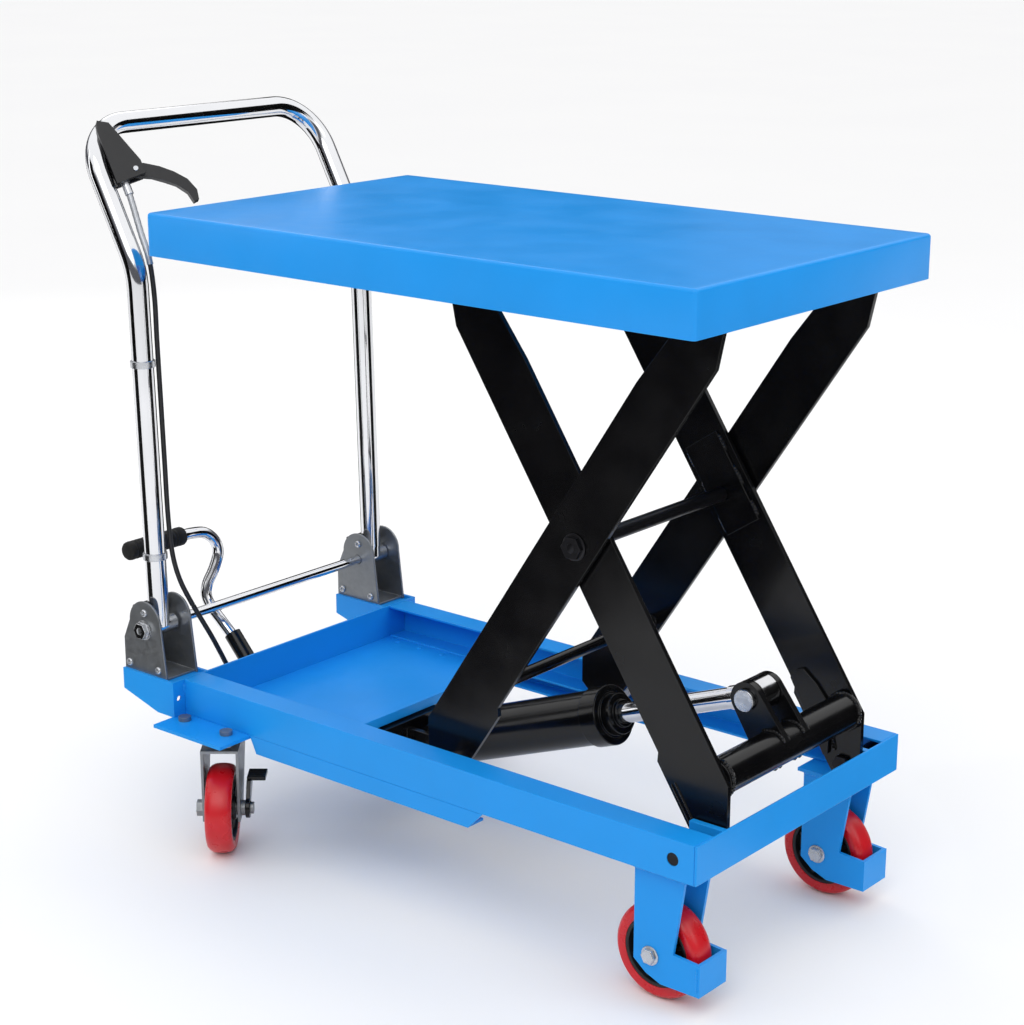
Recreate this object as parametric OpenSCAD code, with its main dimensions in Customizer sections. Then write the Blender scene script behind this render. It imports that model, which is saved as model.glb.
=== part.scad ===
// Foot-pumped scissor lift table, millimetres, +Z up.
// +X is the front (fixed wheels), -X the push handle, y = 0 the middle plane, z = 0 the floor.
// The table stands in a raised position; the scissor folds about pivots along Y.

/* [Platform] */
// Length of the platform
platform_l = 740; // [620:1:890]
// Width of the platform
platform_w = 430; // [430:1:520]
// Depth of the folded platform edge
platform_h = 48; // [42:1:60]
// Thickness of the platform sheet
deck_t = 3; // [2:0.5:4]
// Height of the platform top above its pivots
deck_over_pivot = 20; // [20:0.5:30]

/* [Chassis] */
// Width over the side rails
chassis_w = 388; // [388:1:470]
// Height of the rail tops above the floor
chassis_top = 194; // [190:1:240]
// Height of a side rail
rail_h = 43; // [43:1:60]
// Width of a rail flange
rail_flange = 32; // [28:1:40]
// Thickness of the rail and wall plates
rail_t = 3; // [2:0.5:4]
// Length of the open tray behind the scissor
tray_l = 190; // [150:1:220]

/* [Scissor] */
// Length of a scissor arm between its end pivots
arm_pitch = 647; // [560:1:700]
// Angle of the arms above the floor in the stored pose
arm_angle = 58.9; // [50:0.1:62]
// Width of an arm bar
arm_w = 64; // [54:1:70]
// Thickness of an arm bar
arm_t = 6; // [5:0.5:8]
// Width over the outer arms
scissor_w = 282; // [270:1:300]
// Gap between an inner and an outer arm
arm_gap = 4; // [2:0.5:6]
// Diameter of the centre shaft
shaft_d = 16; // [12:1:20]
// Diameter of the end pivot pins
pin_d = 14; // [10:1:18]
// Diameter of the scissor rollers
roller_d = 34; // [30:1:35]

/* [Wheels] */
// Diameter of the wheels
wheel_d = 105; // [90:1:112]
// Width of a wheel tread
wheel_w = 31; // [26:1:34]
// Distance from a caster's swivel axis to its wheel axle
caster_trail = 28; // [22:1:34]

/* [Hydraulics] */
// Outer diameter of the cylinder barrel
barrel_d = 62; // [52:1:68]
// Diameter of the piston rod
rod_d = 23; // [18:1:30]

/* [Handle] */
// Diameter of the handle tube
tube_d = 25; // [22:1:28]
// Distance between the middles of the handle legs
handle_w = 368; // [356:1:372]
// Length of the lower handle leg
leg_l = 424; // [340:1:520]
// Length of the upper handle leg, over the corner bend
upper_l = 178; // [150:1:220]
// Backward lean of the upper handle legs
upper_lean = 28.5; // [20:0.5:32]

/* [Hidden] */
$fn = 64;

// colours
blue = [0.13, 0.57, 0.93];
black = [0.05, 0.05, 0.06];
zinc = [0.72, 0.73, 0.75];
chrome = [0.85, 0.86, 0.88];
red = [0.86, 0.10, 0.12];

// shared clearances
running = 0.05;     // radial clearance of a pin that turns in a bore
gap = 0.4;          // clearance between pieces that pass each other
cut = 1;            // how far a cutting tool runs past a face

// chassis
platform_x = 75;                              // middle of the platform
front_x = platform_x + 373;                   // outer face of the front plate
rear_x = platform_x - 365;                    // rear face of the rear wall
rail_y = chassis_w / 2;                       // outer face of a rail
rail_low = chassis_top - rail_h;
flange_y = rail_y - rail_flange;              // inner edge of the rail flanges
wall_over = 18;                               // rear wall beyond each rail

// scissor
pivot_x = front_x - 29;
pivot_z = chassis_top - rail_h / 2;
half_pitch = arm_pitch / 2;
centre_x = pivot_x - half_pitch * cos(arm_angle);
centre_z = pivot_z + half_pitch * sin(arm_angle);
roller_x = pivot_x - arm_pitch * cos(arm_angle);
top_pivot_z = pivot_z + arm_pitch * sin(arm_angle);
deck_top = top_pivot_z + deck_over_pivot;
outer_y = scissor_w / 2;                      // outer face of an outer arm
inner_y = outer_y - arm_t - arm_gap;          // outer face of an inner arm
bar_tilt = 2.4;                               // the bars lie flatter than their pivot line
bar_angle = arm_angle - bar_tilt;
bar_rise = 12;                                // the bars cross above the centre pivot
bar_half = arm_w / 2;
foot_r = 18;                                  // radius of the eye round an end pivot
foot_edge_up = 65;                            // height of the upright cut above the end pivot
plate_reach = 100;                            // length of the foot plate along the bar
plate_over = 6;                               // foot plate beyond the bar's lower edge
taper_l = 130;                                // length of the taper at an upper end
end_r = 15.5;                                 // radius of the eye round a roller pivot
rear_cut = 34;                                // upright cut behind a lower roller

// rollers
roller_w = 20;
axle_d = 12;
lower_roller_y = rail_y - rail_t - 3 - roller_w;   // inner face of a lower roller
upper_roller_y = outer_y + 5;                      // inner face of an upper roller
upper_roller_d = roller_d - 2;

// platform
deck_front = platform_x + platform_l / 2;
deck_rear = platform_x - platform_l / 2;
deck_half = platform_w / 2;
deck_low = deck_top - platform_h;
deck_under = deck_top - deck_t;
guide_t = 4;
guide_y = upper_roller_y + roller_w + 2;           // web of the platform guide
guide_low = top_pivot_z - upper_roller_d / 2 - gap - guide_t;
lug_t = 6;
lug_y = outer_y + 2;

// front wheels
axle_x = platform_x + 311;
wheel_r = wheel_d / 2;
wheel_y = 158;                                     // middle of a front wheel
fork_t = 4;
fork_gap = 40;                                     // between the fork cheeks
fork_top = rail_low;
guard_x = platform_x + 372;
guard_top = 60;
guard_low = 24.5;
hub_r = 36;
bore_r = 6;

// casters
caster_x = platform_x - 312;
caster_y = 181;
caster_plate_t = 3;
flange_t = 4;
flange_low = rail_low - flange_t;                  // underside of the blue caster flange
flange_l = 112;
flange_out = 242;
flange_in = 130;
plate_lx = 96;
plate_ly = 84;
caster_bolt_x = 35;
caster_bolt_y = 28;
caster_near_turn = 129.6;
caster_far_turn = -129.6;
race_r = 26;
race_h = 14;
caster_fork_t = 3;
caster_fork_gap = 38;

// hydraulics
eye_x = pivot_x - 32;
eye_z = pivot_z + 110;
base_x = platform_x - 130;
base_z = 118;
ram_l = norm([eye_x - base_x, eye_z - base_z]);
ram_angle = atan2(eye_z - base_z, eye_x - base_x);
clevis_r = 8;
eye_r = 19;
eye_half = 13;
base_pin_r = 6;
base_play = 10.5;                                  // the base eye floats round its pin
base_eye_r = base_pin_r + base_play + 6;
base_half = 13;
barrel_start = 31;
barrel_end = 272;
collar_l = 24;
barrel_wall = 5;
piston_at = 150;
gland_l = 12;
torsion_x = pivot_x + 1;
torsion_z = pivot_z + 63;
torsion_r = 20;

// handle
hinge_x = platform_x - 413;
hinge_z = 248;
leg_y = handle_w / 2;
leg_lean = 1.6;
kink_r = 90;
corner_r = 62;
bar_d = 12;
bush_r = 11;
bracket_in = leg_y - 26;                           // inner face of a handle bracket
bracket_out = leg_y + 24;                          // outer face of a handle bracket
bracket_t = 3;
bracket_low = 190;
bracket_top_r = 27;
bracket_rear = platform_x - 450;
bracket_front = platform_x - 377;
crown_x = platform_x - 412;
crown_z = 256;
arm_plate_t = 4;

// pedal
pedal_x = rear_x - 22;
pedal_y = -60;
pedal_z = 166;
pedal_pin_r = 5;
pedal_arm = 52;                                    // the push arm below the pedal pivot
pedal_tube_d = 14;
grip_d = 23;
grip_l = 88;
// middle line of the bent pedal tube, from the grip to the socket
pedal_route = [[-385, -128, 331], [-385, -100, 331], [-386, -84, 330], [-386, -64, 326], [-384, -50, 314],
    [-382, -46, 298], [-382, -54, 278], [-384, -64, 260], [-382, -68, 246], [-374, -67, 232],
    [-362, -64, 218], [-342, -61, 198]];
socket_end = [-326, -60, 184];

// release cable, from the hand lever down the near leg to the pump
cable_d = 6;
cable_end_y = -61;                                 // where the cable enters the pump block
cable_end_z = 102;
cable_upper_route = [[-383, -163, 758], [-375, -164, 742], [-361, -166, 712], [-346, -168, 682],
    [-340, -168, 640], [-339, -168, 590], [-337, -168, 520], [-335, -168, 450],
    [-333, -168, 380], [-329, -167, 334], [-323, -162, 301], [-317, -149.5, 269]];
cable_lower_route = [[-316.7, -148.7, 267.6], [-312, -140, 248], [-307, -130, 226],
    [-304, -120, 204], [-303, -108, 180], [-302, -96, 158], [-299, -88, 138],
    [-292, -80, 120], [-276, -73, 108], [-250, -66, 103], [-215, -62, 102], [-180, cable_end_y, cable_end_z],
    [-148, cable_end_y, cable_end_z], [-142, cable_end_y, cable_end_z]];

// ---- shared shapes ----

// a plate in the XZ plane, outlined by pts, from y = from to from + t
module plate_xz(pts, from, t) {
    translate([0, from + t, 0])
        rotate([90, 0, 0])
            linear_extrude(height = t)
                polygon(pts);
}

// a 2-D shape drawn in XZ, from y = from to from + t
module along_y(from, t) {
    translate([0, from + t, 0])
        rotate([90, 0, 0])
            linear_extrude(height = t)
                children();
}

// a round bar along Y
module bar_y(x, z, r, from, to) {
    translate([x, from, z])
        rotate([-90, 0, 0])
            cylinder(r = r, h = to - from);
}

// a box given by its low and high corners
module span(low, high) {
    translate(low)
        cube(high - low);
}

// the same thing on both sides of the middle plane
module both_sides() {
    children();
    mirror([0, 1, 0])
        children();
}

// a hexagon nut or bolt head along Y
module hex_y(x, z, across, from, to) {
    translate([x, from, z])
        rotate([-90, 0, 0])
            cylinder(d = across / cos(30), h = to - from, $fn = 6);
}

// ring of points round p, square to direction d, starting on side a
function unit(v) = v / norm(v);
function heading(path, i) =
    unit(path[min(i + 1, len(path) - 1)] - path[max(i - 1, 0)]);
function ring(p, d, a, r, sides) =
    let (b = cross(d, a))
    [for (k = [0 : sides - 1]) p + r * (cos(360 * k / sides) * a + sin(360 * k / sides) * b)];

// the side direction carried along a path without twisting
function carried(path, i, a) = i >= len(path) ? [] :
    let (d = heading(path, i), b = unit(a - (a * d) * d))
    concat([b], carried(path, i + 1, b));
function rings_of(path, r, sides) =
    let (a = carried(path, 0, [0.8, 0.1, 0.3]))
    [for (i = [0 : len(path) - 1]) ring(path[i], heading(path, i), a[i], r, sides)];

// smooth points along a route, n steps between two of its points
function blend_point(a, b, c, d, t) =
    0.5 * (2 * b + (c - a) * t + (2 * a - 5 * b + 4 * c - d) * t * t
        + (3 * b - a - 3 * c + d) * t * t * t);
function smooth(route, n) = concat(
    [for (i = [0 : len(route) - 2], k = [0 : n - 1])
        blend_point(route[max(i - 1, 0)], route[i], route[i + 1],
            route[min(i + 2, len(route) - 1)], k / n)],
    [route[len(route) - 1]]);

function wall_faces(n, sides, first) =
    [for (i = [0 : n - 2], k = [0 : sides - 1])
        [first + i * sides + k, first + i * sides + (k + 1) % sides,
            first + (i + 1) * sides + (k + 1) % sides, first + (i + 1) * sides + k]];
function turned(faces) = [for (f = faces) [for (k = [len(f) - 1 : -1 : 0]) f[k]]];

// a round cord swept along a path of points
module sweep(path, r, sides) {
    last = (len(path) - 1) * sides;
    start = [[for (k = [0 : sides - 1]) sides - 1 - k]];
    finish = [[for (k = [0 : sides - 1]) last + k]];
    polyhedron(points = [for (one = rings_of(path, r, sides), p = one) p],
        faces = concat(wall_faces(len(path), sides, 0), start, finish), convexity = 6);
}

// a hollow pipe swept along a path of points
module pipe(path, r, wall, sides) {
    n = len(path);
    inner = n * sides;
    last = (n - 1) * sides;
    start = [for (k = [0 : sides - 1]) [(k + 1) % sides, k, inner + k, inner + (k + 1) % sides]];
    finish = [for (k = [0 : sides - 1])
        [last + k, last + (k + 1) % sides, inner + last + (k + 1) % sides, inner + last + k]];
    rings = concat(rings_of(path, r, sides), rings_of(path, r - wall, sides));
    polyhedron(points = [for (one = rings, p = one) p],
        faces = concat(wall_faces(n, sides, 0), turned(wall_faces(n, sides, inner)), start, finish),
        convexity = 8);
}

// ---- chassis ----

module rail() {
    difference() {
        span([rear_x + rail_t, -rail_y, rail_low], [front_x - rail_t, -flange_y, chassis_top]);
        span([rear_x, -rail_y + rail_t, rail_low + rail_t],
            [front_x, -flange_y + cut, chassis_top - rail_t]);
        bar_y(pivot_x, pivot_z, pin_d / 2, -rail_y - cut, -flange_y);
    }
}

module side_rails() color(blue) both_sides() rail();

module front_plate() color(blue)
    span([front_x - rail_t, -rail_y, rail_low], [front_x, rail_y, chassis_top]);

module rear_wall() color(blue)
    difference() {
        span([rear_x, -rail_y - wall_over, rail_low], [rear_x + rail_t, rail_y + wall_over, chassis_top]);
        both_sides()
            translate([rear_x - cut, rail_y + wall_over / 2, chassis_top - rail_h / 2])
                rotate([0, 90, 0])
                    cylinder(d = 7, h = rail_t + 2 * cut);
    }

tray_t = 2.5;
tray_lip = 10;
tray_front = rear_x + rail_t + tray_l;
module tray_pan() color(blue) {
    span([rear_x + rail_t, -flange_y, rail_low], [tray_front, flange_y, rail_low + tray_t]);
    span([tray_front - tray_t, -flange_y, rail_low - tray_lip], [tray_front, flange_y, rail_low]);
}

// folded strip that stiffens the underside of a rail
stiff_rear = platform_x - 254;
stiff_front = platform_x + 98;
stiff_h = 21;
stiff_slope = 10;
stiff_w = 26;
module stiffener() {
    outline = [[stiff_rear, rail_low], [stiff_front, rail_low],
        [stiff_front - 2 * stiff_slope, rail_low - stiff_h],
        [stiff_rear + stiff_slope, rail_low - stiff_h]];
    plate_xz(outline, -rail_y, rail_t);
    span([stiff_rear + stiff_slope, -rail_y + rail_t, rail_low - stiff_h],
        [stiff_front - 2 * stiff_slope, -rail_y + stiff_w, rail_low - stiff_h + rail_t]);
}

module rail_stiffeners() color(blue) both_sides() stiffener();

// rear corner: caster flange and the channel that carries a handle bracket
arm_drop = 26;
module rear_arm() {
    outline = [[bracket_rear, chassis_top - arm_drop], [rear_x - 26, rail_low],
        [rear_x, rail_low], [rear_x, chassis_top], [bracket_rear, chassis_top]];
    plate_xz(outline, -bracket_out - arm_plate_t, arm_plate_t);
    plate_xz(outline, -bracket_in, arm_plate_t);
    span([bracket_rear, -bracket_out, bracket_low - arm_plate_t],
        [rear_x, -bracket_in, bracket_low]);
    difference() {
        span([rear_x, -flange_out, flange_low], [rear_x + flange_l, -flange_in, rail_low]);
        for (dx = [-1, 1], dy = [-1, 1])
            translate([caster_x + dx * caster_bolt_x, -caster_y + dy * caster_bolt_y, flange_low - cut])
                cylinder(d = 9, h = flange_t + 2 * cut);
    }
}

module rear_arms() color(blue) both_sides() rear_arm();

// lugs inside the front of the chassis that carry the fixed scissor pivots
module pivot_lug() {
    difference() {
        span([pivot_x - foot_r, -outer_y + gap, rail_low],
            [front_x - rail_t, -inner_y - 2, chassis_top - rail_t]);
        bar_y(pivot_x, pivot_z, pin_d / 2, -outer_y, -inner_y);
    }
    span([pivot_x - foot_r, -flange_y, rail_low], [front_x - rail_t, -outer_y + gap, rail_low + rail_t]);
}

module pivot_lugs() color(blue) both_sides() pivot_lug();

module lower_pivot_pins() color(zinc) both_sides() {
    bar_y(pivot_x, pivot_z, pin_d / 2, -rail_y + 1, -inner_y + arm_t + 1);
    hex_y(pivot_x, pivot_z, pin_d + 5, -inner_y + arm_t + 1, -inner_y + arm_t + 6);
}

// ---- scissor arms ----

// outline of a bar that rises to the rear: fixed eye at the front foot, roller eye at the top
function bar_point(s, t) = [centre_x - s * cos(bar_angle) + t * sin(bar_angle),
    centre_z + bar_rise + s * sin(bar_angle) + t * cos(bar_angle)];
function along_bar(p) = (centre_x - p[0]) * cos(bar_angle)
    + (p[1] - centre_z - bar_rise) * sin(bar_angle);
function off_bar(p) = (p[0] - centre_x) * sin(bar_angle)
    + (p[1] - centre_z - bar_rise) * cos(bar_angle);

module bar_outline(front_cut) {
    foot = [pivot_x, pivot_z];
    crown = [roller_x, top_pivot_z];
    s_foot = along_bar(foot);
    t_foot = off_bar(foot);
    s_top = along_bar(crown);
    t_top = off_bar(crown);
    edge_x = pivot_x + front_cut;
    s_edge = along_bar([edge_x, pivot_z]);
    // where the bar's upper edge meets the upright cut
    edge_z = centre_z + bar_rise + (bar_half - (edge_x - centre_x) * sin(bar_angle)) / cos(bar_angle);
    polygon([[edge_x, pivot_z + 6], [edge_x, edge_z],
        bar_point(s_top - taper_l, bar_half), bar_point(s_top, t_top + end_r),
        bar_point(s_top, t_top - end_r), bar_point(s_top - 60, -bar_half),
        bar_point(s_foot + plate_reach, -bar_half),
        bar_point(s_foot + plate_reach - 8, t_foot - foot_r),
        bar_point(s_foot, t_foot - foot_r), [pivot_x, pivot_z - foot_r],
        [pivot_x + foot_r * 0.7, pivot_z - foot_r * 0.714]]);
    translate(foot)
        circle(r = foot_r);
    translate(crown)
        circle(r = end_r);
}

module inner_arm(from) {
    difference() {
        along_y(from, arm_t)
            bar_outline(21);
        bar_y(pivot_x, pivot_z, pin_d / 2 + running, from - cut, from + arm_t + cut);
        bar_y(centre_x, centre_z, shaft_d / 2, from - cut, from + arm_t + cut);
        bar_y(roller_x, top_pivot_z, axle_d / 2, from - cut, from + arm_t + cut);
    }
}

module outer_arm(from) {
    difference() {
        along_y(from, arm_t)
            translate([2 * centre_x, 0])
                mirror([1, 0])
                    bar_outline(rear_cut);
        bar_y(roller_x, pivot_z, axle_d / 2, from - cut, from + arm_t + cut);
        bar_y(centre_x, centre_z, shaft_d / 2 + running, from - cut, from + arm_t + cut);
        bar_y(pivot_x, top_pivot_z, pin_d / 2 + running, from - cut, from + arm_t + cut);
    }
}

module inner_arm_near() color(black) inner_arm(-inner_y);
module inner_arm_far() color(black) inner_arm(inner_y - arm_t);
module outer_arm_near() color(black) outer_arm(-outer_y);
module outer_arm_far() color(black) outer_arm(outer_y - arm_t);

inner_in = inner_y - arm_t;                   // inner face of an inner arm
module torsion_tube() color(black)
    difference() {
        bar_y(torsion_x, torsion_z, torsion_r, -inner_in, inner_in);
        bar_y(torsion_x, torsion_z, torsion_r - 4, -inner_in - cut, inner_in + cut);
    }

ear_t = 8;
ear_in = eye_half + 1.5;
module ear(from) {
    run = [eye_x - torsion_x, eye_z - torsion_z];
    reach = norm(run);
    tilt = atan2(run[1], run[0]);
    difference() {
        along_y(from, ear_t)
            translate([torsion_x, torsion_z])
                rotate(tilt) {
                    polygon([[0, -torsion_r - 2], [reach, -eye_r], [reach, eye_r], [0, torsion_r + 2]]);
                    translate([reach, 0])
                        circle(r = eye_r);
                }
        bar_y(torsion_x, torsion_z, torsion_r, from - cut, from + ear_t + cut);
        bar_y(eye_x, eye_z, clevis_r, from - cut, from + ear_t + cut);
    }
}

module clevis_ears() color(black) {
    ear(-ear_in - ear_t);
    ear(ear_in);
}

module clevis_pin() color(zinc) {
    bar_y(eye_x, eye_z, clevis_r, -ear_in - ear_t - 5, ear_in + ear_t + 5);
    bar_y(eye_x, eye_z, clevis_r + 4, -ear_in - ear_t - 5, -ear_in - ear_t);
    bar_y(eye_x, eye_z, clevis_r + 4, ear_in + ear_t, ear_in + ear_t + 5);
}

head_t = 7;
module centre_shaft() color(black) {
    bar_y(centre_x, centre_z, shaft_d / 2, -outer_y - head_t, outer_y + head_t);
    bar_y(centre_x, centre_z, shaft_d / 2 + 4, -inner_y - arm_gap + gap, -inner_y);
    bar_y(centre_x, centre_z, shaft_d / 2 + 4, inner_y, inner_y + arm_gap - gap);
    hex_y(centre_x, centre_z, shaft_d + 6, -outer_y - head_t, -outer_y - gap);
    hex_y(centre_x, centre_z, shaft_d + 6, outer_y + gap, outer_y + head_t);
}

rod_along = 210;
rod_off = -18;                        // below the middle line of the bar, clear of the folded inner arms
cross_rod_r = 7;
// the rod between the outer arms sits on their bar line below the centre
module outer_cross_rod() color(black)
    bar_y(2 * centre_x - bar_point(-rod_along, rod_off)[0], bar_point(-rod_along, rod_off)[1], cross_rod_r,
        -outer_y + arm_t, outer_y - arm_t);

module roller_axle(z, from, to) {
    bar_y(roller_x, z, axle_d / 2, from, to);
}

module lower_roller_axles() color(zinc) both_sides() {
    roller_axle(pivot_z, -lower_roller_y - roller_w - 1.5, -outer_y + arm_t);
    bar_y(roller_x, pivot_z, axle_d / 2 + 3, -lower_roller_y + gap, -outer_y);
}

module upper_roller_axles() color(zinc) both_sides() {
    roller_axle(top_pivot_z, -upper_roller_y - roller_w - 1.5, -inner_y + arm_t);
    bar_y(roller_x, top_pivot_z, axle_d / 2 + 3, -upper_roller_y + gap, -inner_y);
}

module roller(z, d, from) {
    difference() {
        bar_y(roller_x, z, d / 2, from, from + roller_w);
        bar_y(roller_x, z, axle_d / 2 + running, from - cut, from + roller_w + cut);
    }
}

module lower_roller_near() color(zinc) roller(pivot_z, roller_d, -lower_roller_y - roller_w);
module lower_roller_far() color(zinc) roller(pivot_z, roller_d, lower_roller_y);
module upper_roller_near() color(zinc) roller(top_pivot_z, upper_roller_d, -upper_roller_y - roller_w);
module upper_roller_far() color(zinc) roller(top_pivot_z, upper_roller_d, upper_roller_y);

// ---- platform ----

bend_r = 4;
module rounded_rect(half_x, half_y, r) {
    for (sx = [-1, 1], sy = [-1, 1])
        translate([sx * (half_x - r), sy * (half_y - r)])
            circle(r = r);
    square([2 * (half_x - r), 2 * half_y], center = true);
    square([2 * half_x, 2 * (half_y - r)], center = true);
}

module platform_deck() color(blue)
    translate([platform_x, 0, deck_low])
        difference() {
            linear_extrude(height = platform_h)
                rounded_rect(platform_l / 2, deck_half, bend_r);
            translate([0, 0, -cut])
                linear_extrude(height = platform_h - deck_t + cut)
                    rounded_rect(platform_l / 2 - deck_t, deck_half - deck_t, bend_r / 2);
        }

guide_rear = deck_rear + 20;
guide_front = pivot_x - 60;
module platform_rails() color(blue) both_sides() {
    span([guide_rear, -guide_y - guide_t, guide_low], [guide_front, -guide_y, deck_under]);
    span([guide_rear, -guide_y, guide_low], [guide_front, -upper_roller_y, guide_low + guide_t]);
}

lug_half = 20;
module platform_lugs() color(blue) both_sides()
    difference() {
        span([pivot_x - lug_half, -lug_y - lug_t, deck_low + 6], [pivot_x + lug_half, -lug_y, deck_under]);
        bar_y(pivot_x, top_pivot_z, pin_d / 2, -lug_y - lug_t - cut, -lug_y + cut);
    }

module upper_pivot_pins() color(zinc) both_sides() {
    bar_y(pivot_x, top_pivot_z, pin_d / 2, -lug_y - lug_t - 5, -outer_y + arm_t + 0.4);
    bar_y(pivot_x, top_pivot_z, pin_d / 2 + 3, -lug_y - lug_t - 5, -lug_y - lug_t);
}

// ---- hydraulics ----

// things drawn along +X from the base pin, turned up along the ram
module along_ram() {
    translate([base_x, 0, base_z])
        rotate([0, -ram_angle, 0])
            children();
}

module bar_x(from, to, r) {
    translate([from, 0, 0])
        rotate([0, 90, 0])
            cylinder(r = r, h = to - from);
}

module cylinder_barrel() color(black) along_ram()
    difference() {
        union() {
            bar_x(barrel_start, barrel_end, barrel_d / 2);
            bar_x(barrel_end - collar_l, barrel_end, barrel_d / 2 + 3);
            span([0, -base_half, -base_eye_r], [barrel_start, base_half, base_eye_r]);
            bar_y(0, 0, base_eye_r, -base_half, base_half);
        }
        bar_x(barrel_start + 8, barrel_end + cut, barrel_d / 2 - barrel_wall);
        bar_y(0, 0, base_pin_r + base_play, -base_half - cut, base_half + cut);
    }

module cylinder_gland() color(zinc) along_ram()
    difference() {
        union() {
            bar_x(barrel_end - collar_l + 4, barrel_end, barrel_d / 2 - barrel_wall);
            bar_x(barrel_end, barrel_end + gland_l, barrel_d / 2 - 8);
            bar_x(barrel_end + gland_l, barrel_end + gland_l + 4, rod_d / 2 + 4);
        }
        bar_x(barrel_end - collar_l, barrel_end + gland_l + 5, rod_d / 2 + running);
    }

module piston_rod() color(chrome) along_ram()
    difference() {
        union() {
            bar_x(piston_at, ram_l, rod_d / 2);
            bar_x(piston_at, piston_at + 22, barrel_d / 2 - barrel_wall - 0.1);
            bar_x(ram_l - eye_r - 14, ram_l - eye_r + 6, rod_d / 2 + 1.5);
            bar_y(ram_l, 0, eye_r, -eye_half, eye_half);
        }
        bar_y(ram_l, 0, clevis_r + running, -eye_half - cut, eye_half + cut);
    }

cheek_t = 8;
cheek_r = 13;
pump_r = 6;
block_rear = base_x - 95;
block_front = base_x - 34;
block_half = 40;
block_side = 76;                                    // near face of the pump block
block_low = 88;
block_top = rail_low - 12;
pump_z = 122;                                      // height of the pump rod
strap_w = 14;
straps_x = [block_rear + 2, block_rear + 28];
module pump_block() color(black) {
    difference() {
        span([block_rear, -block_side, block_low], [block_front, block_half, block_top]);
        translate([block_rear - cut, pedal_y, pump_z])
            rotate([0, 90, 0])
                cylinder(r = pump_r + gap, h = 40);
        translate([block_rear - cut, cable_end_y, cable_end_z])
            rotate([0, 90, 0])
                cylinder(r = cable_d / 2 + 0.5, h = 12);
    }
    for (side = [-1, 1])
        difference() {
            along_y(side > 0 ? base_half + 2 : -base_half - 2 - cheek_t, cheek_t) {
                translate([base_x, base_z])
                    circle(r = cheek_r);
                polygon([[block_front, base_z - cheek_r], [base_x, base_z - cheek_r],
                    [base_x, base_z + cheek_r], [block_front, base_z + cheek_r]]);
            }
            bar_y(base_x, base_z, base_pin_r, -base_half - cheek_t - 4, base_half + cheek_t + 4);
        }
    bar_y(base_x, base_z, base_pin_r, -base_half - cheek_t - 6, base_half + cheek_t + 6);
    // two straps hang the pump from the rail flanges
    for (x = straps_x) {
        span([x, -flange_y - 10, block_top], [x + strap_w, flange_y + 10, block_top + 4]);
        for (side = [-1, 1])
            span([x, side * (flange_y + 5) - 5, block_top + 4],
                [x + strap_w, side * (flange_y + 5) + 5, rail_low]);
    }
}

// ---- front wheels ----

module fork() {
    top = fork_top - fork_t;
    outline = [[platform_x + 290, top], [platform_x + 290, 44], [platform_x + 305, 32],
        [platform_x + 324, guard_low], [guard_x - fork_t, guard_low], [guard_x - fork_t, guard_top],
        [platform_x + 339, guard_top + 2], [platform_x + 352, top]];
    for (side = [-1, 1])
        difference() {
            plate_xz(outline, -wheel_y + side * (fork_gap + fork_t) / 2 - fork_t / 2, fork_t);
            bar_y(axle_x, wheel_r, bore_r, -wheel_y - fork_gap, -wheel_y + fork_gap);
        }
    span([guard_x - fork_t, -wheel_y - fork_gap / 2 - fork_t, guard_low],
        [guard_x, -wheel_y + fork_gap / 2 + fork_t, guard_top]);
    span([platform_x + 284, -wheel_y - fork_gap / 2 - fork_t - 4, top],
        [platform_x + 362, -wheel_y + fork_gap / 2 + fork_t + 4, fork_top]);
}

module front_forks() color(blue) both_sides() fork();

module front_axles() color(zinc) both_sides() {
    edge = fork_gap / 2 + fork_t;
    bar_y(axle_x, wheel_r, bore_r, -wheel_y - edge, -wheel_y + edge);
    hex_y(axle_x, wheel_r, 16, -wheel_y - edge - 6, -wheel_y - edge);
    hex_y(axle_x, wheel_r, 16, -wheel_y + edge, -wheel_y + edge + 6);
}

// a wheel with its middle at the origin, axle along Y: bonded tyre and dished core
module wheel() {
    tread = wheel_w / 2;
    rim = hub_r + 3;
    rotate([-90, 0, 0]) {
        rotate_extrude()
            polygon([[rim, -tread + 1], [wheel_r - 4, -tread], [wheel_r - 1, -tread + 4],
                [wheel_r, -tread + 8], [wheel_r, tread - 8], [wheel_r - 1, tread - 4],
                [wheel_r - 4, tread], [rim, tread - 1]]);
        rotate_extrude()
            polygon([[bore_r + running, -tread - 1.5], [12, -tread - 1.5], [12, -6], [hub_r - 3, -6],
                [hub_r - 3, -tread + 1], [rim, -tread + 1], [rim, tread - 1], [hub_r - 3, tread - 1],
                [hub_r - 3, 6], [12, 6], [12, tread + 1.5], [bore_r + running, tread + 1.5]]);
    }
}

module front_wheel_near() color(red) translate([axle_x, -wheel_y, wheel_r]) wheel();
module front_wheel_far() color(red) translate([axle_x, wheel_y, wheel_r]) wheel();

// ---- rear casters ----

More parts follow.
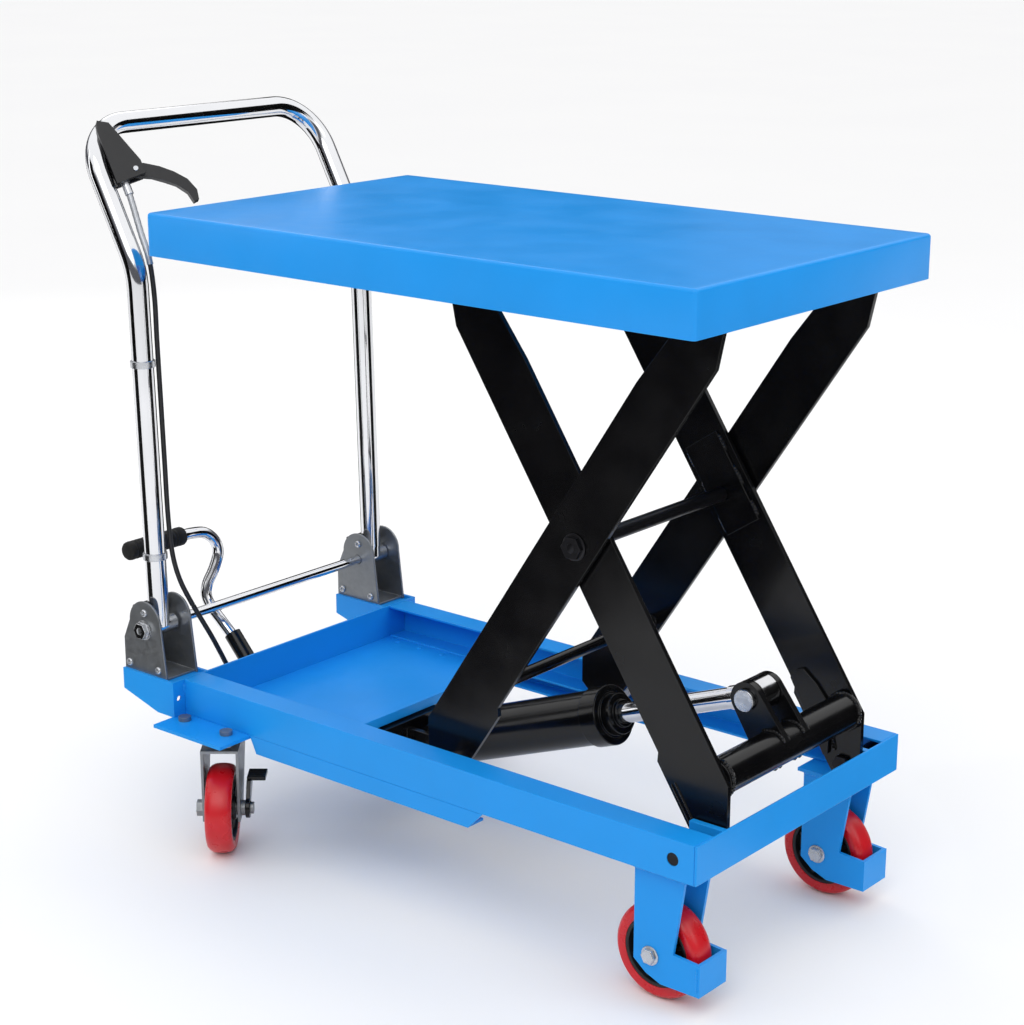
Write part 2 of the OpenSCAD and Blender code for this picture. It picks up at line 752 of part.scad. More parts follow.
plate_low = flange_low - caster_plate_t;
module caster_plates() color(zinc) both_sides() {
    difference() {
        translate([caster_x - plate_lx / 2, -caster_y - plate_ly / 2, plate_low])
            cube([plate_lx, plate_ly, caster_plate_t]);
        translate([caster_x, -caster_y, plate_low - cut])
            cylinder(r = bore_r, h = caster_plate_t + 2 * cut);
        for (dx = [-1, 1], dy = [-1, 1])
            translate([caster_x + dx * caster_bolt_x, -caster_y + dy * caster_bolt_y, plate_low - cut])
                cylinder(d = 9, h = caster_plate_t + 2 * cut);
    }
    translate([caster_x, -caster_y, plate_low - race_h])
        cylinder(r = bore_r, h = race_h + caster_plate_t);
    for (dx = [-1, 1])
        translate([caster_x + dx * caster_bolt_x, -caster_y - caster_bolt_y, plate_low - 8]) {
            cylinder(d = 8, h = flange_t + caster_plate_t + 8);
            cylinder(d = 13, h = 8, $fn = 6);
            translate([0, 0, flange_t + caster_plate_t + 8])
                cylinder(d = 15, h = 5);
        }
}

// a caster stands in its own frame: swivel axis at x = 0, wheel behind it at -X
module at_caster(side, turn) {
    translate([caster_x, side * caster_y, 0])
        rotate([0, 0, turn])
            children();
}

crown_low = plate_low - gap - race_h;
module caster_fork() {
    difference() {
        union() {
            translate([0, 0, crown_low])
                cylinder(r1 = race_r - 6, r2 = race_r, h = race_h);
            difference() {
                translate([-caster_trail, 0, 0])
                    span([-16, -caster_fork_gap / 2 - caster_fork_t, crown_low - caster_fork_t],
                        [caster_trail + 24, caster_fork_gap / 2 + caster_fork_t, crown_low]);
            }
            for (side = [-1, 1])
                plate_xz([[-caster_trail - 14, wheel_r - 12], [-caster_trail + 14, wheel_r - 12],
                    [24, crown_low - 16], [24, crown_low], [-caster_trail - 16, crown_low]],
                    side * (caster_fork_gap + caster_fork_t) / 2 - caster_fork_t / 2, caster_fork_t);
        }
        translate([0, 0, crown_low - caster_fork_t - cut])
            cylinder(r = bore_r + running, h = race_h + caster_fork_t + 2 * cut);
        bar_y(-caster_trail, wheel_r, bore_r, -caster_fork_gap, caster_fork_gap);
    }
    axle_end = caster_fork_gap / 2 + caster_fork_t;
    bar_y(-caster_trail, wheel_r, bore_r, -axle_end, axle_end + 2);
    hex_y(-caster_trail, wheel_r, 17, axle_end, axle_end + 8);
    bar_y(-caster_trail, wheel_r, 9, -axle_end - 5, -axle_end);
    bar_y(-caster_trail, wheel_r, 4, -brake_y - 6, -axle_end - 5);
    bar_y(-caster_trail, wheel_r, 7, -brake_y - 9, -brake_y - 5.4);
}

module caster_fork_near() color(zinc) at_caster(-1, caster_near_turn) caster_fork();
module caster_fork_far() color(zinc) at_caster(1, caster_far_turn) caster_fork();
module caster_wheel_near() color(red) at_caster(-1, caster_near_turn)
    translate([-caster_trail, 0, wheel_r]) wheel();
module caster_wheel_far() color(red) at_caster(1, caster_far_turn)
    translate([-caster_trail, 0, wheel_r]) wheel();

// side brake: a cam plate outside the fork cheek with a foot tab, turning on the axle end
brake_y = caster_fork_gap / 2 + caster_fork_t + 5.4;
module brake_pedal() {
    translate([-caster_trail, 0, wheel_r]) {
        difference() {
            union() {
                along_y(-brake_y - 5, 5)
                    circle(r = 12);
                plate_xz([[-6, 6], [8, 4], [34, 26], [34, 32], [10, 30]], -brake_y - 5, 5);
            }
            bar_y(0, 0, 4 + running, -brake_y - 6, -brake_y + 1);
        }
        span([14, -brake_y - 22, 28], [40, -brake_y, 33]);
    }
}

module brake_pedal_near() color(black) at_caster(-1, caster_near_turn) brake_pedal();
module brake_pedal_far() color(black) at_caster(1, caster_far_turn) brake_pedal();

// ---- handle ----

module bracket() {
    crown = [crown_x, crown_z];
    for (from = [-bracket_out, -bracket_in - bracket_t])
        difference() {
            along_y(from, bracket_t) {
                polygon([[bracket_rear, bracket_low], [bracket_front, bracket_low],
                    [crown_x + bracket_top_r, crown_z], [crown_x - bracket_top_r, crown_z],
                    [bracket_rear, crown_z - 24]]);
                translate(crown)
                    circle(r = bracket_top_r);
            }
            bar_y(hinge_x, hinge_z, bar_d / 2, from - cut, from + bracket_t + cut);
        }
    span([bracket_rear, -bracket_out + bracket_t, bracket_low],
        [bracket_rear + bracket_t, -bracket_in - bracket_t, crown_z - 24]);
    span([bracket_rear + bracket_t, -bracket_out + bracket_t, bracket_low],
        [bracket_front - 4, -bracket_in - bracket_t, bracket_low + bracket_t]);
}

module handle_brackets() color(zinc) both_sides() bracket();

// rubber blocks that the legs lean against when the handle stands up
module handle_stops() color(black) both_sides()
    span([crown_x - 24.5, -bracket_out + bracket_t, crown_z],
        [hinge_x - tube_d / 2 - 1.3, -bracket_in - bracket_t, crown_z + 18]);

module bracket_bolts() color(zinc) both_sides()
    for (at = [[crown_x, crown_z + 13], [bracket_rear + 9, bracket_low + 12],
            [bracket_front - 14, bracket_low + 12]]) {
        bar_y(at[0], at[1], 5, -bracket_out - 3, -bracket_out);
        bar_y(at[0], at[1], 5, -bracket_in, -bracket_in + 3);
    }

module cross_bar() color(chrome) {
    bar_y(hinge_x, hinge_z, bar_d / 2, -bracket_out - 8, bracket_out + 8);
    both_sides()
        hex_y(hinge_x, hinge_z, 18, -bracket_out - 8, -bracket_out);
}

// middle line of the near half of the handle, from its pivot to the top bar
lean_more = upper_lean - leg_lean;
kink_cut = kink_r * tan(lean_more / 2);
tube_wall = 2.5;
tube_sides = 24;
kink_steps = 5;
corner_steps = 12;
bush_top = 14;
function leaned(a) = [-sin(a), 0, cos(a)];
function swung(a) = [-cos(a), 0, -sin(a)];
leg_foot = [hinge_x, -leg_y, hinge_z];
kink_start = leg_foot + (leg_l - kink_cut) * leaned(leg_lean);
kink_end = leg_foot + leg_l * leaned(leg_lean) + kink_cut * leaned(upper_lean);
corner_start = kink_end + (upper_l - kink_cut - corner_r) * leaned(upper_lean);
half_path = concat([leg_foot + bush_top * leaned(leg_lean)],
    [for (i = [0 : kink_steps]) let (t = lean_more * i / kink_steps)
        kink_start + kink_r * (sin(t) * leaned(leg_lean) + (1 - cos(t)) * swung(leg_lean))],
    [for (i = [0 : corner_steps]) let (t = 90 * i / corner_steps)
        corner_start + corner_r * (sin(t) * leaned(upper_lean) + (1 - cos(t)) * [0, 1, 0])]);
far_path = [for (i = [len(half_path) - 1 : -1 : 0])
    [half_path[i][0], -half_path[i][1], half_path[i][2]]];

module handle_tube() color(chrome) pipe(concat(half_path, far_path), tube_d / 2, tube_wall, tube_sides);

// bushes at the feet of the handle that turn on the cross bar
module handle_bushes() color(chrome) both_sides()
    difference() {
        union() {
            bar_y(hinge_x, hinge_z, bush_r, -leg_y - 20, -leg_y + 20);
            translate(leg_foot)
                rotate([0, -leg_lean, 0])
                    cylinder(d = tube_d - 1, h = bush_top);
        }
        bar_y(hinge_x, hinge_z, bar_d / 2 + running, -leg_y - 30, -leg_y + 30);
    }

kink_at = [hinge_x - leg_l * sin(leg_lean), hinge_z + leg_l * cos(leg_lean)];

// pieces clamped in the near upper corner of the handle; local z runs up the leaning leg
module at_upper_leg() {
    translate([kink_at[0], -leg_y, kink_at[1]])
        rotate([0, -upper_lean, 0])
            children();
}

release_turn = 60;
module at_release() {
    at_upper_leg()
        rotate([0, 0, release_turn])
            children();
}

grip_near = tube_d / 2 + 0.3;                      // the clamp block starts beside the tube
housing_low = upper_l - 78;
housing_high = upper_l - 8;
housing_half = 13;
lever_half = 5;
lever_pin_r = 3;
lever_at = [39, housing_low + 10];
ferrule_r = 5;
ferrule_at = 24;
module release_housing() color(black) at_release()
    difference() {
        plate_xz([[grip_near, housing_low], [lever_at[0] + 9, housing_low + 2],
            [lever_at[0] + 9, housing_low + 18], [grip_near + 16, housing_high],
            [grip_near + 4, housing_high + 6], [grip_near, housing_high - 6]],
            -housing_half, 2 * housing_half);
        span([lever_at[0] - 9, -lever_half - 0.6, housing_low - cut],
            [lever_at[0] + 20, lever_half + 0.6, housing_low + 29]);
        bar_y(lever_at[0], lever_at[1], lever_pin_r, -housing_half - cut, housing_half + cut);
        translate([ferrule_at, 0, housing_low - cut])
            cylinder(r = ferrule_r, h = 11);
        // clearance round the corner bend of the tube
        rotate([0, 0, -release_turn])
            translate([0, corner_r, upper_l - corner_r])
                rotate([0, 90, 0])
                    rotate_extrude()
                        translate([corner_r, 0])
                            circle(r = grip_near);
    }

// curved hand lever, hooked at its tip
function lever_pt(dx, dz) = [lever_at[0] + dx, lever_at[1] + dz];
module release_lever() color(black) at_release()
    difference() {
        plate_xz([lever_pt(-6, -5), lever_pt(3, -8), lever_pt(16, -13), lever_pt(28, -21), lever_pt(40, -30),
            lever_pt(49, -42), lever_pt(52, -55), lever_pt(58, -54), lever_pt(60, -42), lever_pt(54, -27),
            lever_pt(42, -14), lever_pt(28, -3), lever_pt(12, 6), lever_pt(0, 8), lever_pt(-6, 5)],
            -lever_half, 2 * lever_half);
        bar_y(lever_at[0], lever_at[1], lever_pin_r + running, -lever_half - cut, lever_half + cut);
    }

// lever pin, the ferrule under the clamp block, and two straps that hold the cable to the near leg
clip_heights = [330, 560];
module cable_clips() color(zinc) {
    at_release() {
        bar_y(lever_at[0], lever_at[1], lever_pin_r, -housing_half - 1.5, housing_half + 1.5);
        difference() {
            translate([ferrule_at, 0, housing_low - 14])
                cylinder(r = ferrule_r, h = 24);
            translate([ferrule_at, 0, housing_low - 14 - cut])
                cylinder(r = cable_d / 2 + 0.7, h = 8);
        }
    }
    for (z = clip_heights)
        translate([hinge_x - (z - hinge_z) * tan(leg_lean), -leg_y, z])
            rotate([0, -leg_lean, 0])
                difference() {
                    cylinder(r = tube_d / 2 + 2, h = 8);
                    translate([0, 0, -cut])
                        cylinder(r = tube_d / 2, h = 8 + 2 * cut);
                }
}

module release_cable_upper() color(black) sweep(smooth(cable_upper_route, 3), cable_d / 2, 10);
module release_cable_lower() color(black) sweep(smooth(cable_lower_route, 3), cable_d / 2, 10);

// ---- pedal ----

module pedal_bracket() color(blue) {
    for (y = [pedal_y - 20, pedal_y + 14])
        difference() {
            plate_xz([[rear_x, chassis_top - 6], [pedal_x, pedal_z + 12], [pedal_x - 12, pedal_z],
                [pedal_x - 8, pedal_z - 10], [rear_x, rail_low]], y, 6);
            bar_y(pedal_x, pedal_z, pedal_pin_r, y - cut, y + 6 + cut);
        }
    bar_y(pedal_x, pedal_z, pedal_pin_r, pedal_y - 23, pedal_y + 23);
}

module pedal_tube() color(chrome) sweep(smooth(pedal_route, 3), pedal_tube_d / 2, 12);

module pedal_grip() color(black)
    difference() {
        translate(pedal_route[0] - [0, grip_l - 26, 0])
            rotate([-90, 0, 0])
                rotate_extrude()
                    polygon([[0, 0], [grip_d / 2 - 4, 0], [grip_d / 2 - 1, 2], [grip_d / 2, 6],
                        [grip_d / 2, grip_l - 6], [grip_d / 2 - 1, grip_l - 2],
                        [grip_d / 2 - 3, grip_l], [0, grip_l]]);
        translate(pedal_route[0] - [0, 0.2, 0])
            rotate([-90, 0, 0])
                cylinder(d = pedal_tube_d + 0.4, h = grip_l);
    }

// socket that takes the tube, its pivot boss and the short arm below that pushes the pump rod
module pedal_socket() color(black) {
    top = pedal_route[len(pedal_route) - 1];
    run = top - [pedal_x, pedal_y, pedal_z];
    difference() {
        union() {
            translate([pedal_x, pedal_y, pedal_z])
                rotate([0, atan2(run[0], run[2]), 0])
                    cylinder(r = 10.5, h = norm(run) + 6);
            bar_y(pedal_x, pedal_z, 12, pedal_y - 13.5, pedal_y + 13.5);
            plate_xz([[pedal_x - 8, pedal_z], [pedal_x - 6, pedal_z - pedal_arm],
                [pedal_x + 8, pedal_z - pedal_arm], [pedal_x + 8, pedal_z]], pedal_y - 5, 10);
        }
        bar_y(pedal_x, pedal_z, pedal_pin_r + running, pedal_y - 20, pedal_y + 20);
        translate(top)
            rotate([0, atan2(run[0], run[2]), 0])
                cylinder(d = pedal_tube_d + 0.6, h = 30, center = true);
    }
}

module pump_rod() color(zinc)
    translate([pedal_x + 8 + gap, pedal_y, pump_z])
        rotate([0, 90, 0])
            cylinder(r = pump_r, h = block_rear - pedal_x);

side_rails();
front_plate();
rear_wall();
tray_pan();
rail_stiffeners();
rear_arms();
pivot_lugs();
lower_pivot_pins();
front_forks();
front_axles();
handle_brackets();
handle_stops();
bracket_bolts();
cross_bar();
caster_plates();
pump_block();
pedal_bracket();
release_cable_lower();
front_wheel_near();
front_wheel_far();
caster_fork_near();
caster_fork_far();
caster_wheel_near();
caster_wheel_far();
brake_pedal_near();
brake_pedal_far();
inner_arm_near();
inner_arm_far();
torsion_tube();
clevis_ears();
clevis_pin();
centre_shaft();
upper_roller_axles();
outer_arm_near();
outer_arm_far();
outer_cross_rod();
lower_roller_axles();
lower_roller_near();
lower_roller_far();
upper_roller_near();
upper_roller_far();
platform_deck();
platform_rails();
platform_lugs();
upper_pivot_pins();
cylinder_barrel();
cylinder_gland();
piston_rod();
pedal_tube();
pedal_grip();
pedal_socket();
pump_rod();
handle_tube();
handle_bushes();
release_housing();
release_lever();
cable_clips();
release_cable_upper();
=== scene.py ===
"""A foot-pumped scissor lift table, dressed in its paint, chrome, rubber and fasteners."""

import math

import bmesh
import bpy
from bpy.props import FloatProperty, FloatVectorProperty, IntProperty, PointerProperty
from mathutils import Matrix, Vector


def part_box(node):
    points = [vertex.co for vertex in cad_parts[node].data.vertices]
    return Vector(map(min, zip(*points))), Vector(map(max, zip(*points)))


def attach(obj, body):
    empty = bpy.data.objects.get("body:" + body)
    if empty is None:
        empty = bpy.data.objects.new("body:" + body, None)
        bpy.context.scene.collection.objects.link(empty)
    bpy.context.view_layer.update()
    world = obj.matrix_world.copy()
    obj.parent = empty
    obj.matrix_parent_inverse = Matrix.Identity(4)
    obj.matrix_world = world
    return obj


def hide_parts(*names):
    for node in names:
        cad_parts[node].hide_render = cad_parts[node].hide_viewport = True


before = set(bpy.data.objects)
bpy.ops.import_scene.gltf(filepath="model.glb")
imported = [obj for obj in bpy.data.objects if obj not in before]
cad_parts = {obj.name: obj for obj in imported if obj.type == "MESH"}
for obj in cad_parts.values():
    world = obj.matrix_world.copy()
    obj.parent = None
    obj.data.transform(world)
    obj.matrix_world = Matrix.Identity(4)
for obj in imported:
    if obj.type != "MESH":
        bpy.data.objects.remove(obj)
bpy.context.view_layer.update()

bl_info = {
    "name": "Scissor lift table",
    "version": (1, 0, 0),
    "blender": (4, 5, 0),
    "location": "View3D > Sidebar > Lift table",
    "description": "Dresses the frame of a foot-pumped scissor lift table",
    "category": "Object",
}

MM = 0.001

# Places taken from the frame, in millimetres
PIVOT = (419.0, 172.5)            # fixed lower pivot of the scissor, x and z
ARM_PITCH = 647.0
ARM_ANGLE = math.radians(58.9)
CENTRE = (PIVOT[0] - ARM_PITCH / 2 * math.cos(ARM_ANGLE), PIVOT[1] + ARM_PITCH / 2 * math.sin(ARM_ANGLE))
ROLLER_X = PIVOT[0] - ARM_PITCH * math.cos(ARM_ANGLE)
BAR_ANGLE = math.radians(56.5)
BAR_RISE = 12.0
AXLE = (386.0, 52.5)
WHEEL_Y = 158.0
WHEEL_R = 52.5
CASTER = (-237.0, 181.0)
CASTER_TRAIL = 28.0
CASTER_TURN = {"near": 129.6, "far": -129.6}
SIDE = {"near": -1, "far": 1}
HINGE = (-338.0, 248.0)
LEG_Y = 184.0
LEG_LEAN = math.radians(1.6)
UPPER_LEAN = math.radians(28.5)
LEG_L = 424.0
UPPER_L = 178.0
KINK_R = 90.0
CORNER_R = 62.0
BRACKET_OUT = 208.0
BRACKET_IN = 158.0
RAIL_Y = 194.0
RAIL_LOW = 151.0
RAIL_TOP = 194.0
REAR_X = -290.0
FRONT_X = 448.0
INNER_FACE = 125.0                # inner face of an inner arm
OUTER_FACE = 141.0                # outer face of an outer arm

PEDAL_ROUTE = [(-385, -128, 331), (-385, -100, 331), (-386, -84, 330), (-386, -64, 326),
               (-384, -50, 314), (-382, -46, 298), (-382, -54, 278), (-384, -64, 260), (-382, -68, 246),
               (-374, -67, 232), (-362, -64, 218), (-342, -61, 198)]
CABLE_UPPER = [(-383, -163, 758), (-375, -164, 742), (-361, -166, 712), (-346, -168, 682),
               (-340, -168, 640), (-339, -168, 590), (-337, -168, 520), (-335, -168, 450),
               (-333, -168, 380), (-329, -167, 334), (-323, -162, 301), (-317, -149.5, 269)]
CABLE_LOWER = [(-316.7, -148.7, 267.6), (-312, -140, 248), (-307, -130, 226), (-304, -120, 204),
               (-303, -108, 180), (-302, -96, 158), (-299, -88, 138), (-292, -80, 120),
               (-276, -73, 108), (-250, -66, 103), (-215, -62, 102), (-180, -61, 102),
               (-148, -61, 102), (-142, -61, 102)]


# ---------------------------------------------------------------- colours and materials

def linear(hex_colour):
    """sRGB hex to linear RGBA."""
    value = hex_colour.lstrip("#")
    parts = [int(value[i:i + 2], 16) / 255 for i in (0, 2, 4)]
    return tuple(c / 12.92 if c <= 0.04045 else ((c + 0.055) / 1.055) ** 2.4 for c in parts) + (1.0,)


def add_node(tree, kind, links=(), **settings):
    """Adds one node with its settings, and links (source socket, input name) pairs into it."""
    node = tree.nodes.new(kind)
    for key, value in settings.items():
        if hasattr(node, key):
            setattr(node, key, value)
        else:
            node.inputs[key.replace("_", " ")].default_value = value
    for source, target in links:
        tree.links.new(source, node.inputs[target])
    return node


def per_mm(size):
    """Texture scale for a pattern of the given size in millimetres."""
    return 1.0 / (size * MM)


MATERIALS = {}


def make_material(name, colours, roughness, bump, **shader):
    """A surface whose colour drifts between two close tones, with a rough-smooth drift and a fine relief.

    colours: two hex tones and the drift's size in mm; roughness: low, high and size in mm;
    bump: strength, depth in mm and grain size in mm."""
    if name in MATERIALS:
        return MATERIALS[name]
    material = bpy.data.materials.new(name)
    material.use_nodes = True
    tree = material.node_tree
    surface = tree.nodes["Principled BSDF"]
    place = add_node(tree, "ShaderNodeTexCoord").outputs["Object"]

    drift = add_node(tree, "ShaderNodeTexNoise", [(place, "Vector")], Scale=per_mm(colours[2]), Detail=3.0)
    tone = add_node(tree, "ShaderNodeMix", [(drift.outputs["Fac"], "Factor")], data_type="RGBA")
    tone.inputs[6].default_value = linear(colours[0])
    tone.inputs[7].default_value = linear(colours[1])
    tree.links.new(tone.outputs[2], surface.inputs["Base Color"])

    wear = add_node(tree, "ShaderNodeTexNoise", [(place, "Vector")], Scale=per_mm(roughness[2]), Detail=4.0)
    span = add_node(tree, "ShaderNodeMapRange", [(wear.outputs["Fac"], "Value")])
    span.inputs["From Min"].default_value = 0.3
    span.inputs["From Max"].default_value = 0.7
    span.inputs["To Min"].default_value = roughness[0]
    span.inputs["To Max"].default_value = roughness[1]
    tree.links.new(span.outputs["Result"], surface.inputs["Roughness"])

    grain = add_node(tree, "ShaderNodeTexNoise", [(place, "Vector")], Scale=per_mm(bump[2]), Detail=2.0)
    relief = add_node(tree, "ShaderNodeBump", [(grain.outputs["Fac"], "Height")],
                      Strength=bump[0], Distance=bump[1] * MM)
    tree.links.new(relief.outputs["Normal"], surface.inputs["Normal"])

    for key, value in shader.items():
        surface.inputs[key.replace("_", " ")].default_value = value
    MATERIALS[name] = material
    return material


def spangle(material, strength):
    """Crystal patches of hot-dip zinc, about 5 mm across, as slight changes of roughness."""
    tree = material.node_tree
    surface = tree.nodes["Principled BSDF"]
    place = add_node(tree, "ShaderNodeTexCoord").outputs["Object"]
    cells = add_node(tree, "ShaderNodeTexVoronoi", [(place, "Vector")], Scale=per_mm(5.0))
    span = add_node(tree, "ShaderNodeMapRange", [(cells.outputs["Color"], "Value")])
    span.inputs["To Min"].default_value = 0.36
    span.inputs["To Max"].default_value = 0.36 + strength
    tree.links.new(span.outputs["Result"], surface.inputs["Roughness"])


def build_materials(settings):
    """Every finish on the table, by the name of what it is."""
    blue = settings.paint_blue
    hex_blue = "#%02X%02X%02X" % tuple(round(255 * c) for c in blue)
    deep = "#%02X%02X%02X" % tuple(round(255 * max(0.0, c * 0.94)) for c in blue)
    # polyester powder coat: a clean even colour, a soft sheen and a faint orange peel
    make_material("blue polyester powder coat", (hex_blue, deep, 90.0), (0.30, 0.40, 60.0),
                  (0.06, 0.2, 5.0), Specular_IOR_Level=0.22, Coat_Weight=0.08, Coat_Roughness=0.14)
    # thick gloss enamel on bar steel: near black, broad soft reflections over slight waves
    make_material("black gloss enamel", ("#070708", "#0C0C0E", 70.0), (0.16, 0.28, 45.0),
                  (0.08, 0.2, 9.0), Specular_IOR_Level=0.25, Coat_Weight=0.12, Coat_Roughness=0.1)
    # hot-dip galvanised sheet: dull grey metal with a broken sparkle
    spangle(make_material("galvanised steel sheet", ("#85888B", "#989B9E", 9.0), (0.36, 0.5, 12.0),
                          (0.08, 0.1, 3.0), Metallic=0.85), 0.16)
    # bright zinc plating on fasteners and axles
    make_material("bright zinc plated steel", ("#B9BCC0", "#D2D4D8", 14.0), (0.22, 0.36, 6.0),
                  (0.10, 0.05, 1.5), Metallic=1.0)
    # chromium plate over polished tube: mirror reflections, broken only by faint polishing haze
    make_material("polished chrome plate", ("#D9DADD", "#E6E7EA", 60.0), (0.05, 0.11, 25.0),
                  (0.03, 0.05, 8.0), Metallic=1.0)
    # ground and hard-chromed rod
    make_material("hard chromed rod", ("#CFD0D4", "#DDDEE1", 30.0), (0.10, 0.16, 8.0),
                  (0.04, 0.03, 2.0), Metallic=1.0)
    # black oxide on pins and heads: dark metal with an oily sheen
    make_material("black oxide steel", ("#17171A", "#232327", 10.0), (0.28, 0.42, 6.0),
                  (0.12, 0.08, 2.0), Metallic=0.7)
    # cast polyurethane tyre: saturated red, waxy gloss, light sinks in a little
    make_material("red cast polyurethane", ("#D3121F", "#BF0D1B", 25.0), (0.24, 0.36, 14.0),
                  (0.08, 0.15, 2.5), Specular_IOR_Level=0.5, Subsurface_Weight=0.08, Subsurface_Scale=0.004)
    # moulded nylon wheel core
    make_material("black moulded nylon", ("#101012", "#19191C", 15.0), (0.40, 0.55, 8.0),
                  (0.18, 0.12, 1.8), Specular_IOR_Level=0.45)
    # moulded ABS of the release grip, with a fine spark texture drawn at 1.2 mm so that it shows
    make_material("black textured abs", ("#0E0E10", "#17171A", 20.0), (0.34, 0.46, 10.0),
                  (0.22, 0.12, 1.2), Specular_IOR_Level=0.5)
    # vulcanised rubber: deep matte black with a dusty bloom
    make_material("black vulcanised rubber", ("#0D0D0D", "#1B1B1B", 12.0), (0.62, 0.8, 9.0),
                  (0.25, 0.15, 1.5), Specular_IOR_Level=0.35)
    # extruded PVC cable jacket
    make_material("black pvc jacket", ("#0F0F11", "#1A1A1D", 10.0), (0.38, 0.5, 10.0),
                  (0.08, 0.05, 2.0), Specular_IOR_Level=0.5)
    # clear-jacketed steel spiral of the upper cable stretch: reads as silver with fine rings
    make_material("silver cable spiral", ("#9DA0A4", "#B8BBBF", 3.0), (0.30, 0.42, 4.0),
                  (0.30, 0.1, 1.2), Metallic=0.8, Coat_Weight=0.6, Coat_Roughness=0.15)


def paint(name):
    return MATERIALS[name]


# ---------------------------------------------------------------- mesh making

def mm(*point):
    return Vector([c * MM for c in point])


def place_mesh(name, verts, faces, finish, body, bevel=0.0, segments=2, sharp=34.0, stands_for=()):
    """Links a mesh piece given in millimetres, gives it its finish and lets it ride on its body."""
    mesh = bpy.data.meshes.new(name)
    mesh.from_pydata([mm(*v) for v in verts], [], faces)
    build = bmesh.new()
    build.from_mesh(mesh)
    bmesh.ops.remove_doubles(build, verts=build.verts, dist=0.002 * MM)
    bmesh.ops.recalc_face_normals(build, faces=build.faces)
    limit = math.radians(sharp)
    for face in build.faces:
        face.smooth = True
    for edge in build.edges:
        edge.smooth = len(edge.link_faces) == 2 and edge.calc_face_angle() < limit
    build.to_mesh(mesh)
    build.free()
    piece = bpy.data.objects.new(name, mesh)
    bpy.context.scene.collection.objects.link(piece)
    mesh.materials.append(paint(finish))
    if bevel:
        add_bevel(piece, bevel, segments)
    if stands_for:
        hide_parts(*stands_for)
    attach(piece, body)
    return piece


def add_bevel(piece, width, segments=2):
    """Rounds the corners with a small rolled edge, in millimetres."""
    edge = piece.modifiers.new("rolled edges", "BEVEL")
    edge.width = width * MM
    edge.segments = segments
    edge.limit_method = "ANGLE"
    edge.angle_limit = math.radians(32)
    edge.harden_normals = True
    edge.use_clamp_overlap = True


def basis(axis):
    """Two unit vectors square to an axis."""
    axis = Vector(axis).normalized()
    other = Vector((0, 0, 1)) if abs(axis.z) < 0.9 else Vector((1, 0, 0))
    u = axis.cross(other).normalized()
    return axis, u, axis.cross(u)


def turned_shape(profile, centre, axis, sides=48):
    """Vertices and faces of a profile of (radius, height) points turned round an axis."""
    axis, u, v = basis(axis)
    centre = Vector(centre)
    verts, faces = [], []
    for radius, height in profile:
        for k in range(sides):
            a = 2 * math.pi * k / sides
            verts.append(centre + axis * height + (u * math.cos(a) + v * math.sin(a)) * radius)
    for i in range(len(profile) - 1):
        for k in range(sides):
            n = (k + 1) % sides
            faces.append((i * sides + k, i * sides + n, (i + 1) * sides + n, (i + 1) * sides + k))
    if profile[0][0] > 0.01 and profile[0] != profile[-1]:
        faces.append(tuple(range(sides))[::-1])
    if profile[-1][0] > 0.01 and profile[0] != profile[-1]:
        faces.append(tuple(range((len(profile) - 1) * sides, len(profile) * sides)))
    return verts, faces


def join(*shapes):
    verts, faces = [], []
    for more_verts, more_faces in shapes:
        start = len(verts)
        verts += more_verts
        faces += [tuple(i + start for i in f) for f in more_faces]
    return verts, faces


def prism(outline, low, high, axes="xz"):
    """A plate cut to an outline: in XZ between two y values, or in XY between two z values."""
    n = len(outline)
    if axes == "xz":
        verts = [(p[0], low, p[1]) for p in outline] + [(p[0], high, p[1]) for p in outline]
    else:
        verts = [(p[0], p[1], low) for p in outline] + [(p[0], p[1], high) for p in outline]
    faces = [tuple(range(n)), tuple(range(2 * n - 1, n - 1, -1))]
    faces += [(i, (i + 1) % n, n + (i + 1) % n, n + i) for i in range(n)]
    return verts, faces


def curve_points(route, steps):
    """A smooth path through the route, with the same blending as the frame's cords."""
    pts = [Vector(p) for p in route]
    out = []
    for i in range(len(pts) - 1):
        a, b, c, d = pts[max(i - 1, 0)], pts[i], pts[i + 1], pts[min(i + 2, len(pts) - 1)]
        for k in range(steps):
            t = k / steps
            out.append(0.5 * (2 * b + (c - a) * t + (2 * a - 5 * b + 4 * c - d) * t * t
                              + (3 * b - a - 3 * c + d) * t ** 3))
    return out + [pts[-1]]


def tube_shape(path, radius, sides=24, ends=True):
    """A round tube along a path; radius is one number or one for each point."""
    path = [Vector(p) for p in path]
    radii = [radius] * len(path) if isinstance(radius, (int, float)) else radius
    verts, faces = [], []
    side = None
    for i, point in enumerate(path):
        along = (path[min(i + 1, len(path) - 1)] - path[max(i - 1, 0)]).normalized()
        if side is None:
            side = basis(along)[1]
        side = (side - along * side.dot(along)).normalized()
        up = along.cross(side)
        for k in range(sides):
            a = 2 * math.pi * k / sides
            verts.append(point + (side * math.cos(a) + up * math.sin(a)) * radii[i])
    for i in range(len(path) - 1):
        for k in range(sides):
            n = (k + 1) % sides
            faces.append((i * sides + k, i * sides + n, (i + 1) * sides + n, (i + 1) * sides + k))
    if ends:
        faces.append(tuple(range(sides))[::-1])
        faces.append(tuple(range((len(path) - 1) * sides, len(path) * sides)))
    return verts, faces


